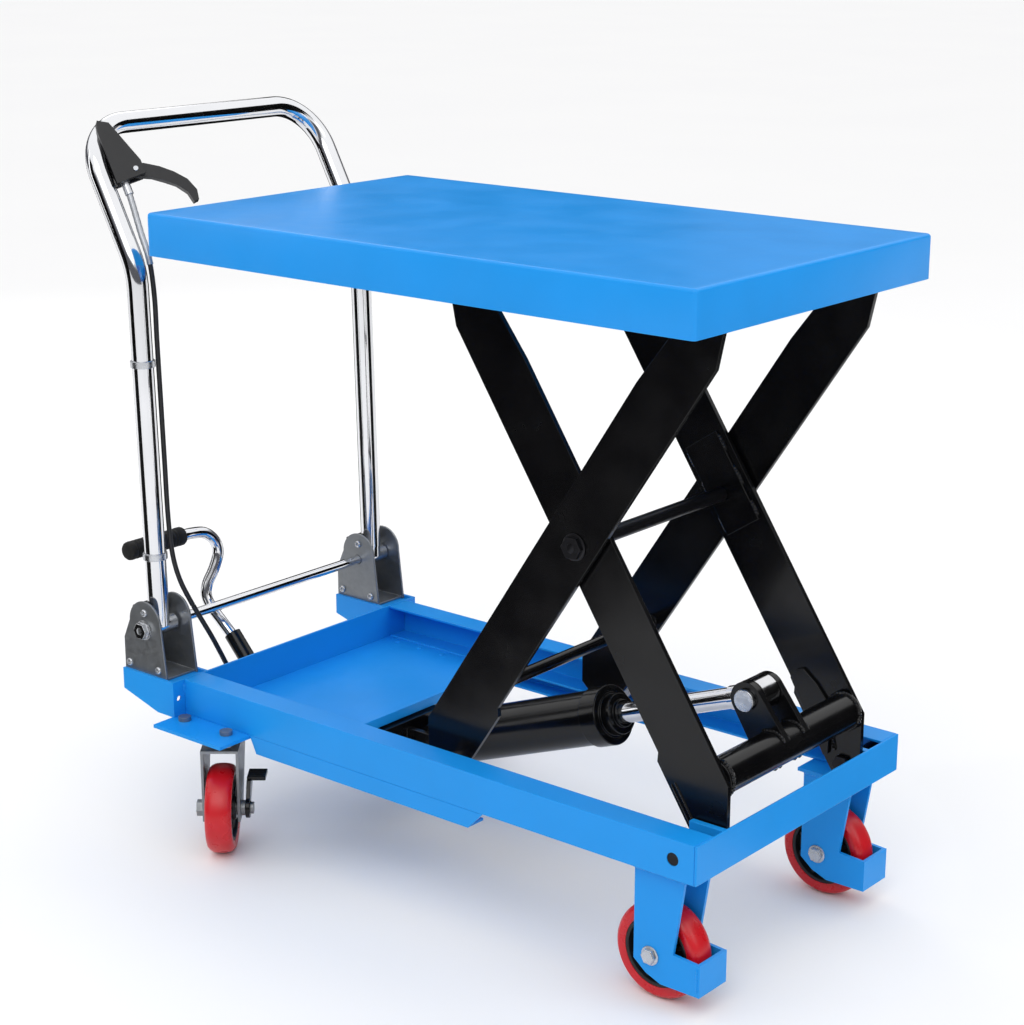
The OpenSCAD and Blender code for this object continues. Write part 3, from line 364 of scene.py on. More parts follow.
def hex_head(centre, axis, across, height, bore=0.0):
    """A hexagon nut or head with turned-down corners, standing on centre and pointing along axis."""
    axis, u, v = basis(axis)
    centre = Vector(centre)
    r = across / math.cos(math.pi / 6) / 2
    rings = [(r * 0.93, 0.0), (r, height * 0.12), (r, height * 0.8), (r * 0.88, height)]
    verts, faces = [], []
    for radius, h in rings:
        for k in range(6):
            a = math.pi / 3 * k
            verts.append(centre + axis * h + (u * math.cos(a) + v * math.sin(a)) * radius)
    for i in range(len(rings) - 1):
        for k in range(6):
            n = (k + 1) % 6
            faces.append((i * 6 + k, i * 6 + n, (i + 1) * 6 + n, (i + 1) * 6 + k))
    faces.append(tuple(range(6))[::-1])
    faces.append(tuple(range(18, 24)))
    shape = (verts, faces)
    if bore:
        stud = turned_shape([(bore, 0), (bore, height + bore * 0.7), (bore * 0.75, height + bore)], centre, axis, 20)
        shape = join(shape, stud)
    return shape


def button_head(centre, axis, radius, height):
    """A domed screw head with a hexagon socket."""
    dome = [(radius, 0.0), (radius, height * 0.25), (radius * 0.86, height * 0.7), (radius * 0.55, height),
            (radius * 0.45, height), (radius * 0.42, height * 0.35), (0.0, height * 0.35)]
    return turned_shape(dome, centre, axis, 24)


def washer(centre, axis, radius, thick):
    return turned_shape([(radius - 0.4, 0), (radius, thick * 0.3), (radius, thick * 0.8), (radius - 0.5, thick)],
                        centre, axis, 28)


def weld_shape(route, radius, pitch=3.2):
    """A weld bead along a route: overlapping scallops, as laid by hand."""
    pts = [Vector(p) for p in route]
    length = sum((pts[i + 1] - pts[i]).length for i in range(len(pts) - 1))
    count = max(4, int(length / pitch * 3))
    path, radii = [], []
    for i in range(count + 1):
        at = length * i / count
        for a, b in zip(pts, pts[1:]):
            piece = (b - a).length
            if at <= piece + 1e-6:
                path.append(a.lerp(b, min(1.0, at / piece)))
                break
            at -= piece
        end = min(1.0, 0.45 + min(i, count - i) * 0.3)
        radii.append(radius * end * (1.0 + 0.16 * math.sin(2 * math.pi * i / 3.0) + 0.06 * math.sin(i * 1.7)))
    return tube_shape(path, radii, 8)


# ---------------------------------------------------------------- CAD nodes that stay

BLUE = "blue polyester powder coat"
BLACK = "black gloss enamel"
GALV = "galvanised steel sheet"
ZINC = "bright zinc plated steel"
CHROME = "polished chrome plate"
ROD = "hard chromed rod"
OXIDE = "black oxide steel"
RED = "red cast polyurethane"
NYLON = "black moulded nylon"
ABS = "black textured abs"
RUBBER = "black vulcanised rubber"
JACKET = "black pvc jacket"
SPIRAL = "silver cable spiral"

# finish and rolled edge in millimetres of each CAD node that keeps its own shape
NODE_FINISH = {
    "side_rails": (BLUE, 1.6), "front_plate": (BLUE, 1.2), "rear_wall": (BLUE, 1.2),
    "tray_pan": (BLUE, 1.0), "rail_stiffeners": (BLUE, 1.4), "rear_arms": (BLUE, 1.4),
    "pivot_lugs": (BLUE, 1.2), "lower_pivot_pins": (OXIDE, 0.8), "front_forks": (BLUE, 1.4),
    "handle_brackets": (GALV, 0.9), "handle_stops": (RUBBER, 1.5), "pump_block": (BLACK, 1.8),
    "pedal_bracket": (BLUE, 1.2), "caster_plates": (GALV, 0.8), "caster_fork_near": (GALV, 1.0),
    "caster_fork_far": (GALV, 1.0), "brake_pedal_near": (BLACK, 1.2), "brake_pedal_far": (BLACK, 1.2),
    "inner_arm_near": (BLACK, 1.0), "inner_arm_far": (BLACK, 1.0), "outer_arm_near": (BLACK, 1.0),
    "outer_arm_far": (BLACK, 1.0), "torsion_tube": (BLACK, 0.8), "clevis_ears": (BLACK, 1.2),
    "clevis_pin": (ZINC, 1.0), "centre_shaft": (OXIDE, 0.8), "upper_roller_axles": (ZINC, 0.8),
    "lower_roller_axles": (ZINC, 0.8), "outer_cross_rod": (BLACK, 0.8), "lower_roller_near": (ZINC, 1.2),
    "lower_roller_far": (ZINC, 1.2), "upper_roller_near": (ZINC, 1.2), "upper_roller_far": (ZINC, 1.2),
    "platform_rails": (BLUE, 1.4), "platform_lugs": (BLUE, 1.2), "upper_pivot_pins": (ZINC, 0.8),
    "cylinder_barrel": (BLACK, 1.5), "cylinder_gland": (BLACK, 1.0), "piston_rod": (ROD, 1.2),
    "pedal_socket": (BLACK, 1.0), "pump_rod": (ZINC, 0.8), "handle_bushes": (CHROME, 0.8),
    "cable_clips": (ZINC, 0.5), "release_housing": (ABS, 2.6), "release_lever": (ABS, 2.6),
    "front_axles": (ZINC, 0.6), "bracket_bolts": (ZINC, 0.5), "cross_bar": (CHROME, 0.8),
}


def dress_node(name, finish, edge):
    """Gives a CAD node its finish, shades its round faces smooth and rolls its sharp edges."""
    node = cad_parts[name]
    mesh = node.data
    mesh.materials.clear()
    mesh.materials.append(paint(finish))
    corners = [tuple(round(c * 1e5) for c in v.co) for v in mesh.vertices]
    beside = {}
    for face in mesh.polygons:
        for a, b in face.edge_keys:
            beside.setdefault(frozenset((corners[a], corners[b])), []).append(face.normal.copy())
    for line in mesh.edges:
        ways = beside.get(frozenset(corners[i] for i in line.vertices), [])
        line.use_edge_sharp = len(ways) != 2 or ways[0].angle(ways[1], 0.0) > math.radians(30)
    weld = node.modifiers.new("close seams", "WELD")
    weld.merge_threshold = 0.004 * MM
    flat = node.modifiers.new("merge flat faces", "DECIMATE")
    flat.decimate_type = "DISSOLVE"
    flat.angle_limit = math.radians(0.6)
    add_bevel(node, edge)
    mesh.polygons.foreach_set("use_smooth", [True] * len(mesh.polygons))
    mesh.update()


# ---------------------------------------------------------------- settings

class LiftTableSettings(bpy.types.PropertyGroup):
    """Sizes and colours that a user may change."""

    paint_blue: FloatVectorProperty(name="Paint", description="Colour of the powder coat, as sRGB",
                                    subtype="COLOR_GAMMA", size=3, min=0.0, max=1.0, default=(0.100, 0.600, 0.940))
    bend_radius: FloatProperty(name="Deck bend", description="Outer radius of the folded deck edge",
                               default=4.0 * MM, min=1.0 * MM, max=8.0 * MM, unit="LENGTH")
    corner_radius: FloatProperty(name="Deck corner", description="Radius of the deck's upright corners",
                                 default=5.0 * MM, min=1.0 * MM, max=9.0 * MM, unit="LENGTH")
    tyre_crown: FloatProperty(name="Tyre crown", description="How far the tread is crowned",
                              default=2.2 * MM, min=0.5 * MM, max=4.0 * MM, unit="LENGTH")
    tube_radius: FloatProperty(name="Handle tube", description="Radius of the handle tube",
                               default=12.5 * MM, min=11.0 * MM, max=12.5 * MM, unit="LENGTH")
    cable_radius: FloatProperty(name="Cable", description="Radius of the release cable",
                                default=3.0 * MM, min=2.0 * MM, max=3.0 * MM, unit="LENGTH")
    grip_ribs: IntProperty(name="Grip ribs", description="Ribs round the pedal grip", default=14, min=4, max=24)
    bead_radius: FloatProperty(name="Weld bead", description="Half width of the weld beads",
                               default=2.4 * MM, min=1.0 * MM, max=4.0 * MM, unit="LENGTH")


def settings_of(context):
    return context.scene.lift_table


# ---------------------------------------------------------------- operators

class LIFTTABLE_OT_paint_frame(bpy.types.Operator):
    """Paint, plate or rubber on every CAD part that keeps its shape"""

    bl_idname = "lifttable.paint_frame"
    bl_label = "Finish the frame parts"

    def execute(self, context):
        build_materials(settings_of(context))
        for name, (finish, edge) in NODE_FINISH.items():
            dress_node(name, finish, edge)
        return {"FINISHED"}


class LIFTTABLE_OT_deck(bpy.types.Operator):
    """Folded sheet platform with rolled top edges and an open underside"""

    bl_idname = "lifttable.deck"
    bl_label = "Platform deck"

    sheet = 3.0
    corner_steps = 6
    bend_steps = 6

    def ring(self, low, high, inset, radius, z):
        """Rounded rectangle at height z."""
        r = max(radius - inset, 0.6)
        points = []
        left, right = low.x / MM + inset + r, high.x / MM - inset - r
        near, far = low.y / MM + inset + r, high.y / MM - inset - r
        corners = [(right, far, 0), (left, far, 90), (left, near, 180), (right, near, 270)]
        for cx, cy, start in corners:
            for k in range(self.corner_steps + 1):
                a = math.radians(start + 90 * k / self.corner_steps)
                points.append((cx + r * math.cos(a), cy + r * math.sin(a), z))
        return points

    def execute(self, context):
        s = settings_of(context)
        low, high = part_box("platform_deck")
        bottom, top = low.z / MM, high.z / MM
        bend, corner = s.bend_radius / MM, s.corner_radius / MM
        levels = [(self.sheet, bottom), (self.sheet - 0.5, bottom), (0.5, bottom), (0.15, bottom + 0.15),
                  (0.0, bottom + 0.5), (0.0, top - bend)]
        for k in range(1, self.bend_steps + 1):
            a = math.pi / 2 * k / self.bend_steps
            levels.append((bend * (1 - math.cos(a)), top - bend + bend * math.sin(a)))
        levels.append((bend + 6.0, top))
        inner = [(self.sheet, bottom), (self.sheet, top - self.sheet - 1.5), (self.sheet + 1.5, top - self.sheet)]
        verts, faces = [], []
        count = 4 * (self.corner_steps + 1)
        for inset, z in levels:
            verts += self.ring(low, high, inset, corner, z)
        outer_rings = len(levels)
        for inset, z in inner:
            verts += self.ring(low, high, inset, corner, z)
        for i in range(outer_rings - 1):
            for k in range(count):
                n = (k + 1) % count
                faces.append((i * count + k, i * count + n, (i + 1) * count + n, (i + 1) * count + k))
        faces.append(tuple(range((outer_rings - 1) * count, outer_rings * count)))
        for i in range(outer_rings, outer_rings + len(inner) - 1):
            for k in range(count):
                n = (k + 1) % count
                faces.append((i * count + n, i * count + k, (i + 1) * count + k, (i + 1) * count + n))
        last = (outer_rings + len(inner) - 1) * count
        faces.append(tuple(range(last, last + count))[::-1])
        place_mesh("platform_sheet", verts, faces, BLUE, "platform",
                   sharp=24.0, stands_for=["platform_deck"])
        return {"FINISHED"}


def wheel_pieces(name, centre, axis, body, crown, stands_for):
    """Cast tyre, moulded core with ribs and a bearing face on both sides."""
    half = 15.5
    r = WHEEL_R
    tyre = [(38.6, -half + 1.2), (43.0, -half + 0.2), (46.5, -half)]
    for k in range(13):
        t = -1 + 2 * k / 12
        shoulder = abs(t) ** 6 * 3.2
        tyre.append((r - crown * t * t - shoulder, t * (half - 0.2)))
    tyre += [(46.5, half), (43.0, half - 0.2), (38.6, half - 1.2), (38.6, -half + 1.2)]
    verts, faces = turned_shape(tyre, centre, axis, 96)
    place_mesh(name + "_tyre", verts, faces, RED, body, stands_for=[stands_for])
    rim = [(38.7, -half + 1.6), (36.8, -half + 0.9), (34.6, -half + 1.4), (33.0, -7.5), (31.0, -6.2), (16.5, -6.2),
           (14.5, -7.4), (13.6, -half), (12.6, -half - 1.0), (7.0, -half - 1.4), (6.1, -half - 1.4)]
    core = rim + [(p[0], -p[1]) for p in reversed(rim)] + [rim[0]]
    shapes = [turned_shape(core, centre, axis, 72)]
    ax, u, v = basis(axis)
    middle = Vector(centre)
    for k in range(8):
        a = 2 * math.pi * (k + 0.5) / 8
        out = u * math.cos(a) + v * math.sin(a)
        across = ax.cross(out)
        for sign in (-1, 1):
            pts = []
            for along, wide, deep in ((14.0, 1.8, 13.0), (33.5, 1.8, 11.5), (33.5, 2.4, 6.0), (14.0, 2.4, 6.0)):
                for w in (-wide, wide):
                    pts.append(middle + out * along + across * w + ax * sign * deep)
            shapes.append((pts, [(0, 1, 3, 2), (2, 3, 5, 4), (4, 5, 7, 6), (6, 7, 1, 0), (0, 2, 4, 6), (1, 7, 5, 3)]))
    verts, faces = join(*shapes)
    place_mesh(name + "_core", verts, faces, NYLON, body, bevel=0.5)
    for side, tag in ((-1, "a"), (1, "b")):
        face = [(12.2, -half - 0.6), (12.2, -half - 1.3), (9.4, -half - 1.3), (9.0, -half - 0.9), (6.3, -half - 0.9),
                (6.3, -half - 0.6), (12.2, -half - 0.6)]
        face = [(p[0], p[1] * -side) for p in face]
        verts, faces = turned_shape(face, centre, axis, 40)
        place_mesh("%s_bearing_%s" % (name, tag), verts, faces, ZINC, body)


def caster_point(side, along, across, z):
    """A point given in a caster's own frame: along is ahead of the swivel axis."""
    t = math.radians(CASTER_TURN[side])
    return (CASTER[0] + along * math.cos(t) - across * math.sin(t),
            SIDE[side] * CASTER[1] + along * math.sin(t) + across * math.cos(t), z)


def caster_axis(side):
    t = math.radians(CASTER_TURN[side])
    return (-math.sin(t), math.cos(t), 0.0)


class LIFTTABLE_OT_wheels(bpy.types.Operator):
    """Polyurethane wheels with nylon cores, at the front and on the casters"""

    bl_idname = "lifttable.wheels"
    bl_label = "Wheels"

    def execute(self, context):
        crown = settings_of(context).tyre_crown / MM
        for side in SIDE:
            wheel_pieces("front_%s" % side, (AXLE[0], SIDE[side] * WHEEL_Y, WHEEL_R), (0, 1, 0),
                         "front_wheel_" + side, crown, "front_wheel_" + side)
            wheel_pieces("caster_%s" % side, caster_point(side, -CASTER_TRAIL, 0, WHEEL_R), caster_axis(side),
                         "caster_wheel_" + side, crown, "caster_wheel_" + side)
        return {"FINISHED"}


class LIFTTABLE_OT_casters(bpy.types.Operator):
    """Swivel races, king pins and grease lips of the casters"""

    bl_idname = "lifttable.casters"
    bl_label = "Caster races"

    def execute(self, context):
        low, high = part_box("caster_fork_near")
        crown = high.z / MM
        for side in SIDE:
            centre = (CASTER[0], SIDE[side] * CASTER[1], crown)
            dome = [(19.0, -13.6), (23.5, -12.0), (27.2, -9.0), (28.4, -6.0), (28.4, -4.4), (26.6, -3.4), (26.6, -1.4),
                    (24.0, -0.2), (8.0, -0.2)]
            verts, faces = turned_shape(dome, centre, (0, 0, 1), 64)
            place_mesh("caster_race_" + side, verts, faces, ZINC, "caster_" + side)
            verts, faces = hex_head((centre[0], centre[1], crown - 17.6), (0, 0, -1), 17, 7.5, 0)
            place_mesh("king_nut_" + side, verts, faces, ZINC, "caster_" + side, bevel=0.3)
            pad = []
            for k in range(4):
                pad.append(caster_rib(side, 17 + k * 6.0))
            verts, faces = join(*pad)
            place_mesh("brake_ribs_" + side, verts, faces, BLACK, "brake_" + side, bevel=0.3)
        return {"FINISHED"}


def caster_rib(side, along):
    """One anti-slip rib across a brake pedal's tab."""
    top, low = WHEEL_R + 33.9, WHEEL_R + 32.6
    pts = [caster_point(side, -CASTER_TRAIL + along + dx, dy, z)
           for z in (low, top) for dx, dy in ((-0.9, -47.5), (0.9, -47.5), (0.9, -29.5), (-0.9, -29.5))]
    return pts, [(0, 1, 2, 3), (7, 6, 5, 4), (0, 4, 5, 1), (1, 5, 6, 2), (2, 6, 7, 3), (3, 7, 4, 0)]


def leaned(a):
    return Vector((-math.sin(a), 0, math.cos(a)))


def swung(a):
    return Vector((-math.cos(a), 0, -math.sin(a)))


def handle_path():
    """Middle line of the handle, from the near pivot over the top bar to the far pivot."""
    more = UPPER_LEAN - LEG_LEAN
    cut = KINK_R * math.tan(more / 2)
    foot = Vector((HINGE[0], -LEG_Y, HINGE[1]))
    kink = foot + leaned(LEG_LEAN) * (LEG_L - cut)
    after = foot + leaned(LEG_LEAN) * LEG_L + leaned(UPPER_LEAN) * cut
    corner = after + leaned(UPPER_LEAN) * (UPPER_L - cut - CORNER_R)
    half = [foot + leaned(LEG_LEAN) * 14.0, foot + leaned(LEG_LEAN) * 120.0]
    for i in range(13):
        t = more * i / 12
        half.append(kink + (leaned(LEG_LEAN) * math.sin(t) + swung(LEG_LEAN) * (1 - math.cos(t))) * KINK_R)
    for i in range(25):
        t = math.pi / 2 * i / 24
        half.append(corner + (leaned(UPPER_LEAN) * math.sin(t) + Vector((0, 1, 0)) * (1 - math.cos(t))) * CORNER_R)
    return half + [Vector((p.x, -p.y, p.z)) for p in reversed(half)]


class LIFTTABLE_OT_handle(bpy.types.Operator):
    """Bent chrome push handle tube"""

    bl_idname = "lifttable.handle"
    bl_label = "Push handle"

    def execute(self, context):
        radius = settings_of(context).tube_radius / MM
        verts, faces = tube_shape(handle_path(), radius, 48)
        place_mesh("handle_bent_tube", verts, faces, CHROME, "handle", stands_for=["handle_tube"])
        return {"FINISHED"}


class LIFTTABLE_OT_release(bpy.types.Operator):
    """The release cable's two stretches and the silver spiral on its upper stretch"""

    bl_idname = "lifttable.release"
    bl_label = "Release grip and cable"

    def execute(self, context):
        radius = settings_of(context).cable_radius / MM
        upper = curve_points(CABLE_UPPER, 8)
        verts, faces = tube_shape(upper, radius, 16)
        place_mesh("release_cable_handle", verts, faces, JACKET, "handle",
                   stands_for=["release_cable_upper"])
        verts, faces = tube_shape(curve_points(CABLE_LOWER, 8), radius, 16)
        place_mesh("release_cable_chassis", verts, faces, JACKET, "chassis",
                   stands_for=["release_cable_lower"])
        sleeve = upper[:26]
        rings = [radius + 0.55 + 0.25 * (i % 2) for i in range(len(sleeve))]
        verts, faces = tube_shape(sleeve, rings, 20)
        place_mesh("cable_spiral", verts, faces, SPIRAL, "handle")
        return {"FINISHED"}


class LIFTTABLE_OT_pedal(bpy.types.Operator):
    """Bent pedal tube and its ribbed rubber grip"""

    bl_idname = "lifttable.pedal"
    bl_label = "Foot pedal"

    def execute(self, context):
        verts, faces = tube_shape(curve_points(PEDAL_ROUTE, 8), 7.0, 28)
        place_mesh("pedal_bent_tube", verts, faces, CHROME, "pedal", stands_for=["pedal_tube"])
        low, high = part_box("pedal_grip")
        ribs = settings_of(context).grip_ribs
        length = (high.y - low.y) / MM
        centre = ((low.x + high.x) / 2 / MM, low.y / MM, (low.z + high.z) / 2 / MM)
        profile = [(0.0, 0.0), (6.0, 0.1), (9.4, 1.0), (11.0, 3.0), (11.5, 6.0)]
        body_l = length - 18.0
        for k in range(ribs * 4 + 1):
            wave = 11.4 if k % 4 in (0, 1) else 10.3
            profile.append((wave, 8.0 + body_l * k / (ribs * 4)))
        profile += [(11.5, length - 7.0), (11.5, length - 2.0), (10.6, length), (7.2, length)]
        verts, faces = turned_shape(profile, centre, (0, 1, 0), 48)
        place_mesh("pedal_rubber_grip", verts, faces, RUBBER, "pedal", sharp=50.0,
                   stands_for=["pedal_grip"])
        return {"FINISHED"}


class LIFTTABLE_OT_fasteners(bpy.types.Operator):
    """Nuts, washers, screw heads and rivets"""

    bl_idname = "lifttable.fasteners"
    bl_label = "Fasteners"

    def execute(self, context):
        near_far = list(SIDE.items())
        bracket = []
        for _, s in near_far:
            for x, z in ((-337.0, 269.0), (-366.0, 202.0), (-316.0, 202.0)):
                bracket.append(button_head((x, s * (BRACKET_OUT + 0.1), z), (0, s, 0), 4.8, 2.6))
                bracket.append(button_head((x, s * (BRACKET_IN - 0.1), z), (0, -s, 0), 4.8, 2.6))
        verts, faces = join(*bracket)
        place_mesh("bracket_screw_heads", verts, faces, ZINC, "chassis", stands_for=["bracket_bolts"])
        ends = []
        for _, s in near_far:
            ends.append(washer((HINGE[0], s * BRACKET_OUT, HINGE[1]), (0, s, 0), 12.0, 1.6))
            ends.append(turned_shape([(8.6, 1.6), (8.6, 4.0), (7.6, 6.5), (4.4, 8.0), (0.0, 8.4)],
                                     (HINGE[0], s * BRACKET_OUT, HINGE[1]), (0, s, 0), 32))
        verts, faces = join(*ends)
        place_mesh("cross_bar_caps", verts, faces, ZINC, "chassis")
        axle = []
        for _, s in near_far:
            for face, way in ((182.0, s), (134.0, -s)):
                axle.append(washer((AXLE[0], s * face, AXLE[1]), (0, way, 0), 10.5, 1.4))
                axle.append(hex_head((AXLE[0], s * face + way * 1.4, AXLE[1]), (0, way, 0), 15, 4.4, 0))
        verts, faces = join(*axle)
        place_mesh("front_axle_nuts", verts, faces, ZINC, "chassis", bevel=0.3,
                   stands_for=["front_axles"])
        rivets = []
        for x in range(5):
            for s in (-1, 1):
                rivets.append(button_dome((-262.0 + 38 * x, s * 150.0, RAIL_LOW + 2.5), (0, 0, 1), 3.4, 1.3))
        verts, faces = join(*rivets)
        place_mesh("tray_rivets", verts, faces, BLUE, "chassis")
        pins = []
        for _, s in near_far:
            pins.append(turned_shape([(9.6, 0.0), (9.6, 2.4), (8.2, 3.6), (0.0, 3.6)],
                                     (ROLLER_X, s * (OUTER_FACE + 0.1), PIVOT[1]), (0, s, 0), 32))
        verts, faces = join(*pins)
        place_mesh("roller_axle_collars", verts, faces, ZINC, "outer_arms")
        heads = []
        for _, s in near_far:
            heads.append(washer((CENTRE[0], s * (OUTER_FACE + 0.1), CENTRE[1]), (0, s, 0), 14.5, 1.6))
            heads.append(button_dome((CENTRE[0], s * (OUTER_FACE + 7.0), CENTRE[1]), (0, s, 0), 5.0, 1.0))
        verts, faces = join(*heads)
        place_mesh("centre_washers", verts, faces, OXIDE, "inner_arms")
        return {"FINISHED"}


def button_dome(centre, axis, radius, height):
    return turned_shape([(radius, 0.0), (radius * 0.95, height * 0.45), (radius * 0.65, height * 0.85), (0.0, height)],
                        centre, axis, 20)


def bar_point(s, t, outer=False):
    """Point of an arm bar: s up the bar from its middle, t square to it."""
    x = CENTRE[0] - s * math.cos(BAR_ANGLE) + t * math.sin(BAR_ANGLE)
    z = CENTRE[1] + BAR_RISE + s * math.sin(BAR_ANGLE) + t * math.cos(BAR_ANGLE)
    return (2 * CENTRE[0] - x if outer else x, z)


class LIFTTABLE_OT_doublers(bpy.types.Operator):
    """Reinforcing plates at the feet and at the middle of the inner arms"""

    bl_idname = "lifttable.doublers"
    bl_label = "Arm doublers"

    def execute(self, context):
        for side, s in SIDE.items():
            foot = [(350, 258), (356, 268), (366, 272), (384, 258), (401, 238), (403, 208), (402, 181), (396, 178)]
            verts, faces = prism(foot, s * INNER_FACE, s * (INNER_FACE - 4.0))
            place_mesh("foot_plate_" + side, verts, faces, BLACK, "inner_arms", bevel=1.0)
            pad = [bar_point(-54, -24), bar_point(-54, 24), bar_point(54, 24), bar_point(54, -24)]
            verts, faces = prism(pad, s * INNER_FACE, s * (INNER_FACE - 3.0))
            place_mesh("centre_pad_" + side, verts, faces, BLACK, "inner_arms", bevel=0.8)
        return {"FINISHED"}


class LIFTTABLE_OT_welds(bpy.types.Operator):
    """Weld beads on the chassis, the arms and the cylinder"""

    bl_idname = "lifttable.welds"
    bl_label = "Weld beads"

    def execute(self, context):
        r = settings_of(context).bead_radius / MM
        chassis, arms, outer = [], [], []
        for s in SIDE.values():
            chassis.append(weld_shape([(FRONT_X - 3.0, s * (RAIL_Y - 32), RAIL_TOP - 2.2),
                                       (FRONT_X - 3.0, s * (RAIL_Y - 6), RAIL_TOP - 2.2)], r * 0.7))
            chassis.append(weld_shape([(REAR_X - 0.2, s * (RAIL_Y + 0.4), RAIL_LOW + 5),
                                       (REAR_X + 3.2, s * (RAIL_Y + 0.4), RAIL_TOP - 5)], r * 0.7))
            for x0, x1 in ((365, 392), (402, 430)):
                chassis.append(weld_shape([(x0, s * 182.4, 146.4), (x1, s * 182.4, 146.4)], r))
                chassis.append(weld_shape([(x0, s * 133.6, 146.4), (x1, s * 133.6, 146.4)], r))
            chassis.append(weld_shape([(443.4, s * 182.0, 30), (443.4, s * 182.0, 56)], r * 0.6))
            chassis.append(weld_shape([(-286, s * 162.5, 154.0), (-110, s * 162.5, 154.0)], r * 0.7))
            ring = []
            for k in range(17):
                a = 2 * math.pi * k / 16
                ring.append((420 + 20.4 * math.cos(a), s * (INNER_FACE - 4.6), 235.5 + 20.4 * math.sin(a)))
            arms.append(weld_shape(ring, r))
            for lo, hi in ((-50, -30), (-12, 12), (30, 50)):
                for edge in (-24, 24):
                    a, b = bar_point(lo, edge), bar_point(hi, edge)
                    y = s * (INNER_FACE - 0.6)
                    arms.append(weld_shape([(a[0], y, a[1]), (b[0], y, b[1])], r))
            y = s * (INNER_FACE - 0.4)
            for x0, z0, x1, z1 in ((371, 262, 382, 243), (390, 233, 399, 214), (404, 206, 409, 186)):
                arms.append(weld_shape([(x0, y, z0), (x1, y, z1)], r))
            for t in (-33.5, -28.5):
                a, b = bar_point(-268, t), bar_point(-322, t)
                arms.append(weld_shape([(a[0], s * 131.2, a[1]), (b[0], s * 131.2, b[1])], 1.2))
            for y in (14.2, 23.0):
                for k0, k1 in ((35, 75), (205, 245)):
                    ring = [(420 + 20.6 * math.cos(math.radians(a)), s * y, 235.5 + 20.6 * math.sin(math.radians(a)))
                            for a in range(k0, k1 + 60, 10)]
                    arms.append(weld_shape(ring, r * 0.9))
            rod = bar_point(-210, -18, outer=True)
            y = s * (OUTER_FACE - 6.8)
            ring = [(rod[0] + 7.2 * math.cos(math.radians(a)), y, rod[1] + 7.2 * math.sin(math.radians(a)))
                    for a in range(0, 361, 24)]
            outer.append(weld_shape(ring, r * 0.7))
        verts, faces = join(*chassis)
        place_mesh("chassis_welds", verts, faces, BLUE, "chassis")
        verts, faces = join(*arms)
        place_mesh("inner_arm_welds", verts, faces, BLACK, "inner_arms")
        verts, faces = join(*outer)
        place_mesh("outer_arm_welds", verts, faces, BLACK, "outer_arms")
        return {"FINISHED"}


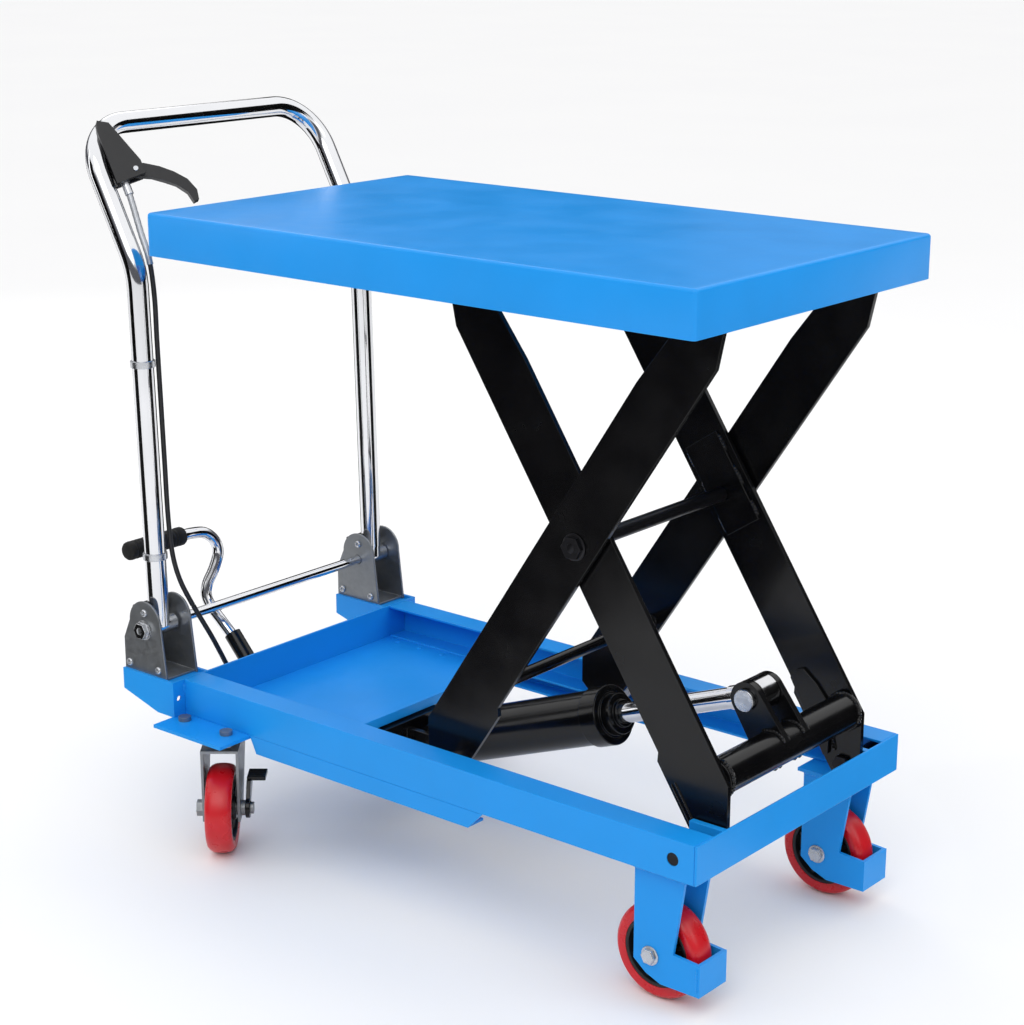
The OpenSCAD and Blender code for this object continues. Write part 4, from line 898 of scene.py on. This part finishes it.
class LIFTTABLE_OT_stage(bpy.types.Operator):
    """Pale floor, soft studio light and the camera"""

    bl_idname = "lifttable.stage"
    bl_label = "Stage"

    eye = (1.5691, -1.8355, 1.1013)
    pitch = 16.005
    roll = 0.083
    heading = 39.551
    lens = 77.56
    # start and end azimuth of each black card, in degrees
    cards = [(-152.0, -108.0), (14.0, 58.0), (120.0, 165.0)]
    # name, place, aim, width, height, power
    softboxes = [
        ("key_softbox", (1.2, -2.6, 2.9), (0.0, 0.0, 0.4), 2.4, 2.4, 26.0),
        ("fill_softbox", (3.0, 0.6, 1.7), (0.0, 0.0, 0.4), 1.6, 2.4, 10.0),
        ("rim_softbox", (-2.6, 1.6, 1.9), (0.0, 0.0, 0.5), 1.2, 2.2, 9.0),
        ("side_strip", (-2.3, -1.9, 1.3), (-0.2, 0.0, 0.5), 0.5, 2.2, 6.0),
    ]

    def execute(self, context):
        scene = context.scene
        floor = bpy.data.meshes.new("floor")
        size = 70.0
        floor.from_pydata([(-size, -size, 0), (size, -size, 0), (size, size, 0), (-size, size, 0)], [], [(0, 1, 2, 3)])
        ground = bpy.data.objects.new("floor", floor)
        scene.collection.objects.link(ground)
        # matt painted studio floor: even white with a trace of mottling
        paper = make_material("matt white studio floor", ("#F6F6F6", "#F3F3F4", 900.0), (0.7, 0.8, 400.0),
                              (0.02, 0.1, 30.0), Specular_IOR_Level=0.2)
        floor.materials.append(paper)
        world = bpy.data.worlds.new("studio")
        scene.world = world
        world.use_nodes = True
        tree = world.node_tree
        sky = tree.nodes["Background"]
        way = add_node(tree, "ShaderNodeTexCoord").outputs["Generated"]
        split = add_node(tree, "ShaderNodeSeparateXYZ", [(way, "Vector")])
        ramp = add_node(tree, "ShaderNodeValToRGB", [(split.outputs["Z"], "Fac")])
        # dark walls up to about 20 degrees over the horizon, a bright ceiling above them
        ramp.color_ramp.elements[0].position = 0.26
        ramp.color_ramp.elements[0].color = (0.10, 0.10, 0.11, 1)
        ramp.color_ramp.elements[1].position = 0.42
        ramp.color_ramp.elements[1].color = (1.0, 1.0, 1.0, 1)
        tree.links.new(ramp.outputs["Color"], sky.inputs["Color"])
        sky.inputs["Strength"].default_value = 1.18
        # black cards, seen in reflections only, that draw the dark stripes along the chrome
        cloth = make_material("black velvet card", ("#030303", "#060606", 40.0), (0.9, 0.95, 20.0),
                              (0.05, 0.1, 2.0), Specular_IOR_Level=0.1)
        for start, stop in self.cards:
            verts = []
            for far, up in ((0.62, 0.004), (3.2, 0.004), (3.2, 2.4)):
                for k in range(7):
                    a = math.radians(start + (stop - start) * k / 6)
                    verts.append((-0.05 + far * math.cos(a), far * math.sin(a), up))
            mesh = bpy.data.meshes.new("card")
            mesh.from_pydata(verts, [], [(r * 7 + k, r * 7 + k + 1, r * 7 + k + 8, r * 7 + k + 7)
                                         for r in range(2) for k in range(6)])
            card = bpy.data.objects.new("card", mesh)
            scene.collection.objects.link(card)
            mesh.materials.append(cloth)
            card.visible_camera = card.visible_diffuse = card.visible_shadow = False
        for name, place, aim, width, height, power in self.softboxes:
            light = bpy.data.lights.new(name, "AREA")
            light.shape = "RECTANGLE"
            light.size, light.size_y = width, height
            light.energy = power
            lamp = bpy.data.objects.new(name, light)
            lamp.location = place
            lamp.rotation_euler = (Vector(aim) - Vector(place)).to_track_quat("-Z", "Y").to_euler()
            scene.collection.objects.link(lamp)
        camera = bpy.data.cameras.new("camera")
        camera.lens = self.lens
        camera.sensor_width = 36.0
        camera.clip_end = 200.0
        eye = bpy.data.objects.new("camera", camera)
        eye.location = self.eye
        turn = Matrix.Identity(4)
        for angle, axis in ((self.heading, "Z"), (90 - self.pitch, "X"), (self.roll, "Z")):
            turn = turn @ Matrix.Rotation(math.radians(angle), 4, axis)
        eye.rotation_euler = turn.to_euler()
        scene.collection.objects.link(eye)
        scene.camera = eye
        scene.view_settings.view_transform = "Standard"
        return {"FINISHED"}


class LIFTTABLE_PT_panel(bpy.types.Panel):
    """Lists the settings and the steps in order"""

    bl_label = "Lift table"
    bl_space_type = "VIEW_3D"
    bl_region_type = "UI"
    bl_category = "Lift table"

    def draw(self, context):
        settings = settings_of(context)
        for name in settings.bl_rna.properties.keys():
            if name not in ("rna_type", "name"):
                self.layout.prop(settings, name)
        for step in STEPS:
            self.layout.operator(step.bl_idname)


STEPS = [LIFTTABLE_OT_paint_frame, LIFTTABLE_OT_deck, LIFTTABLE_OT_wheels, LIFTTABLE_OT_casters,
         LIFTTABLE_OT_handle, LIFTTABLE_OT_release, LIFTTABLE_OT_pedal, LIFTTABLE_OT_fasteners,
         LIFTTABLE_OT_doublers, LIFTTABLE_OT_welds, LIFTTABLE_OT_stage]
CLASSES = [LiftTableSettings, *STEPS, LIFTTABLE_PT_panel]


def register():
    for one in CLASSES:
        bpy.utils.register_class(one)
    bpy.types.Scene.lift_table = PointerProperty(type=LiftTableSettings)


def unregister():
    del bpy.types.Scene.lift_table
    for one in reversed(CLASSES):
        bpy.utils.unregister_class(one)


def main():
    register()
    bpy.ops.lifttable.paint_frame()
    bpy.ops.lifttable.deck()
    bpy.ops.lifttable.wheels()
    bpy.ops.lifttable.casters()
    bpy.ops.lifttable.handle()
    bpy.ops.lifttable.release()
    bpy.ops.lifttable.pedal()
    bpy.ops.lifttable.fasteners()
    bpy.ops.lifttable.doublers()
    bpy.ops.lifttable.welds()
    bpy.ops.lifttable.stage()


if __name__ == "__main__":
    main()
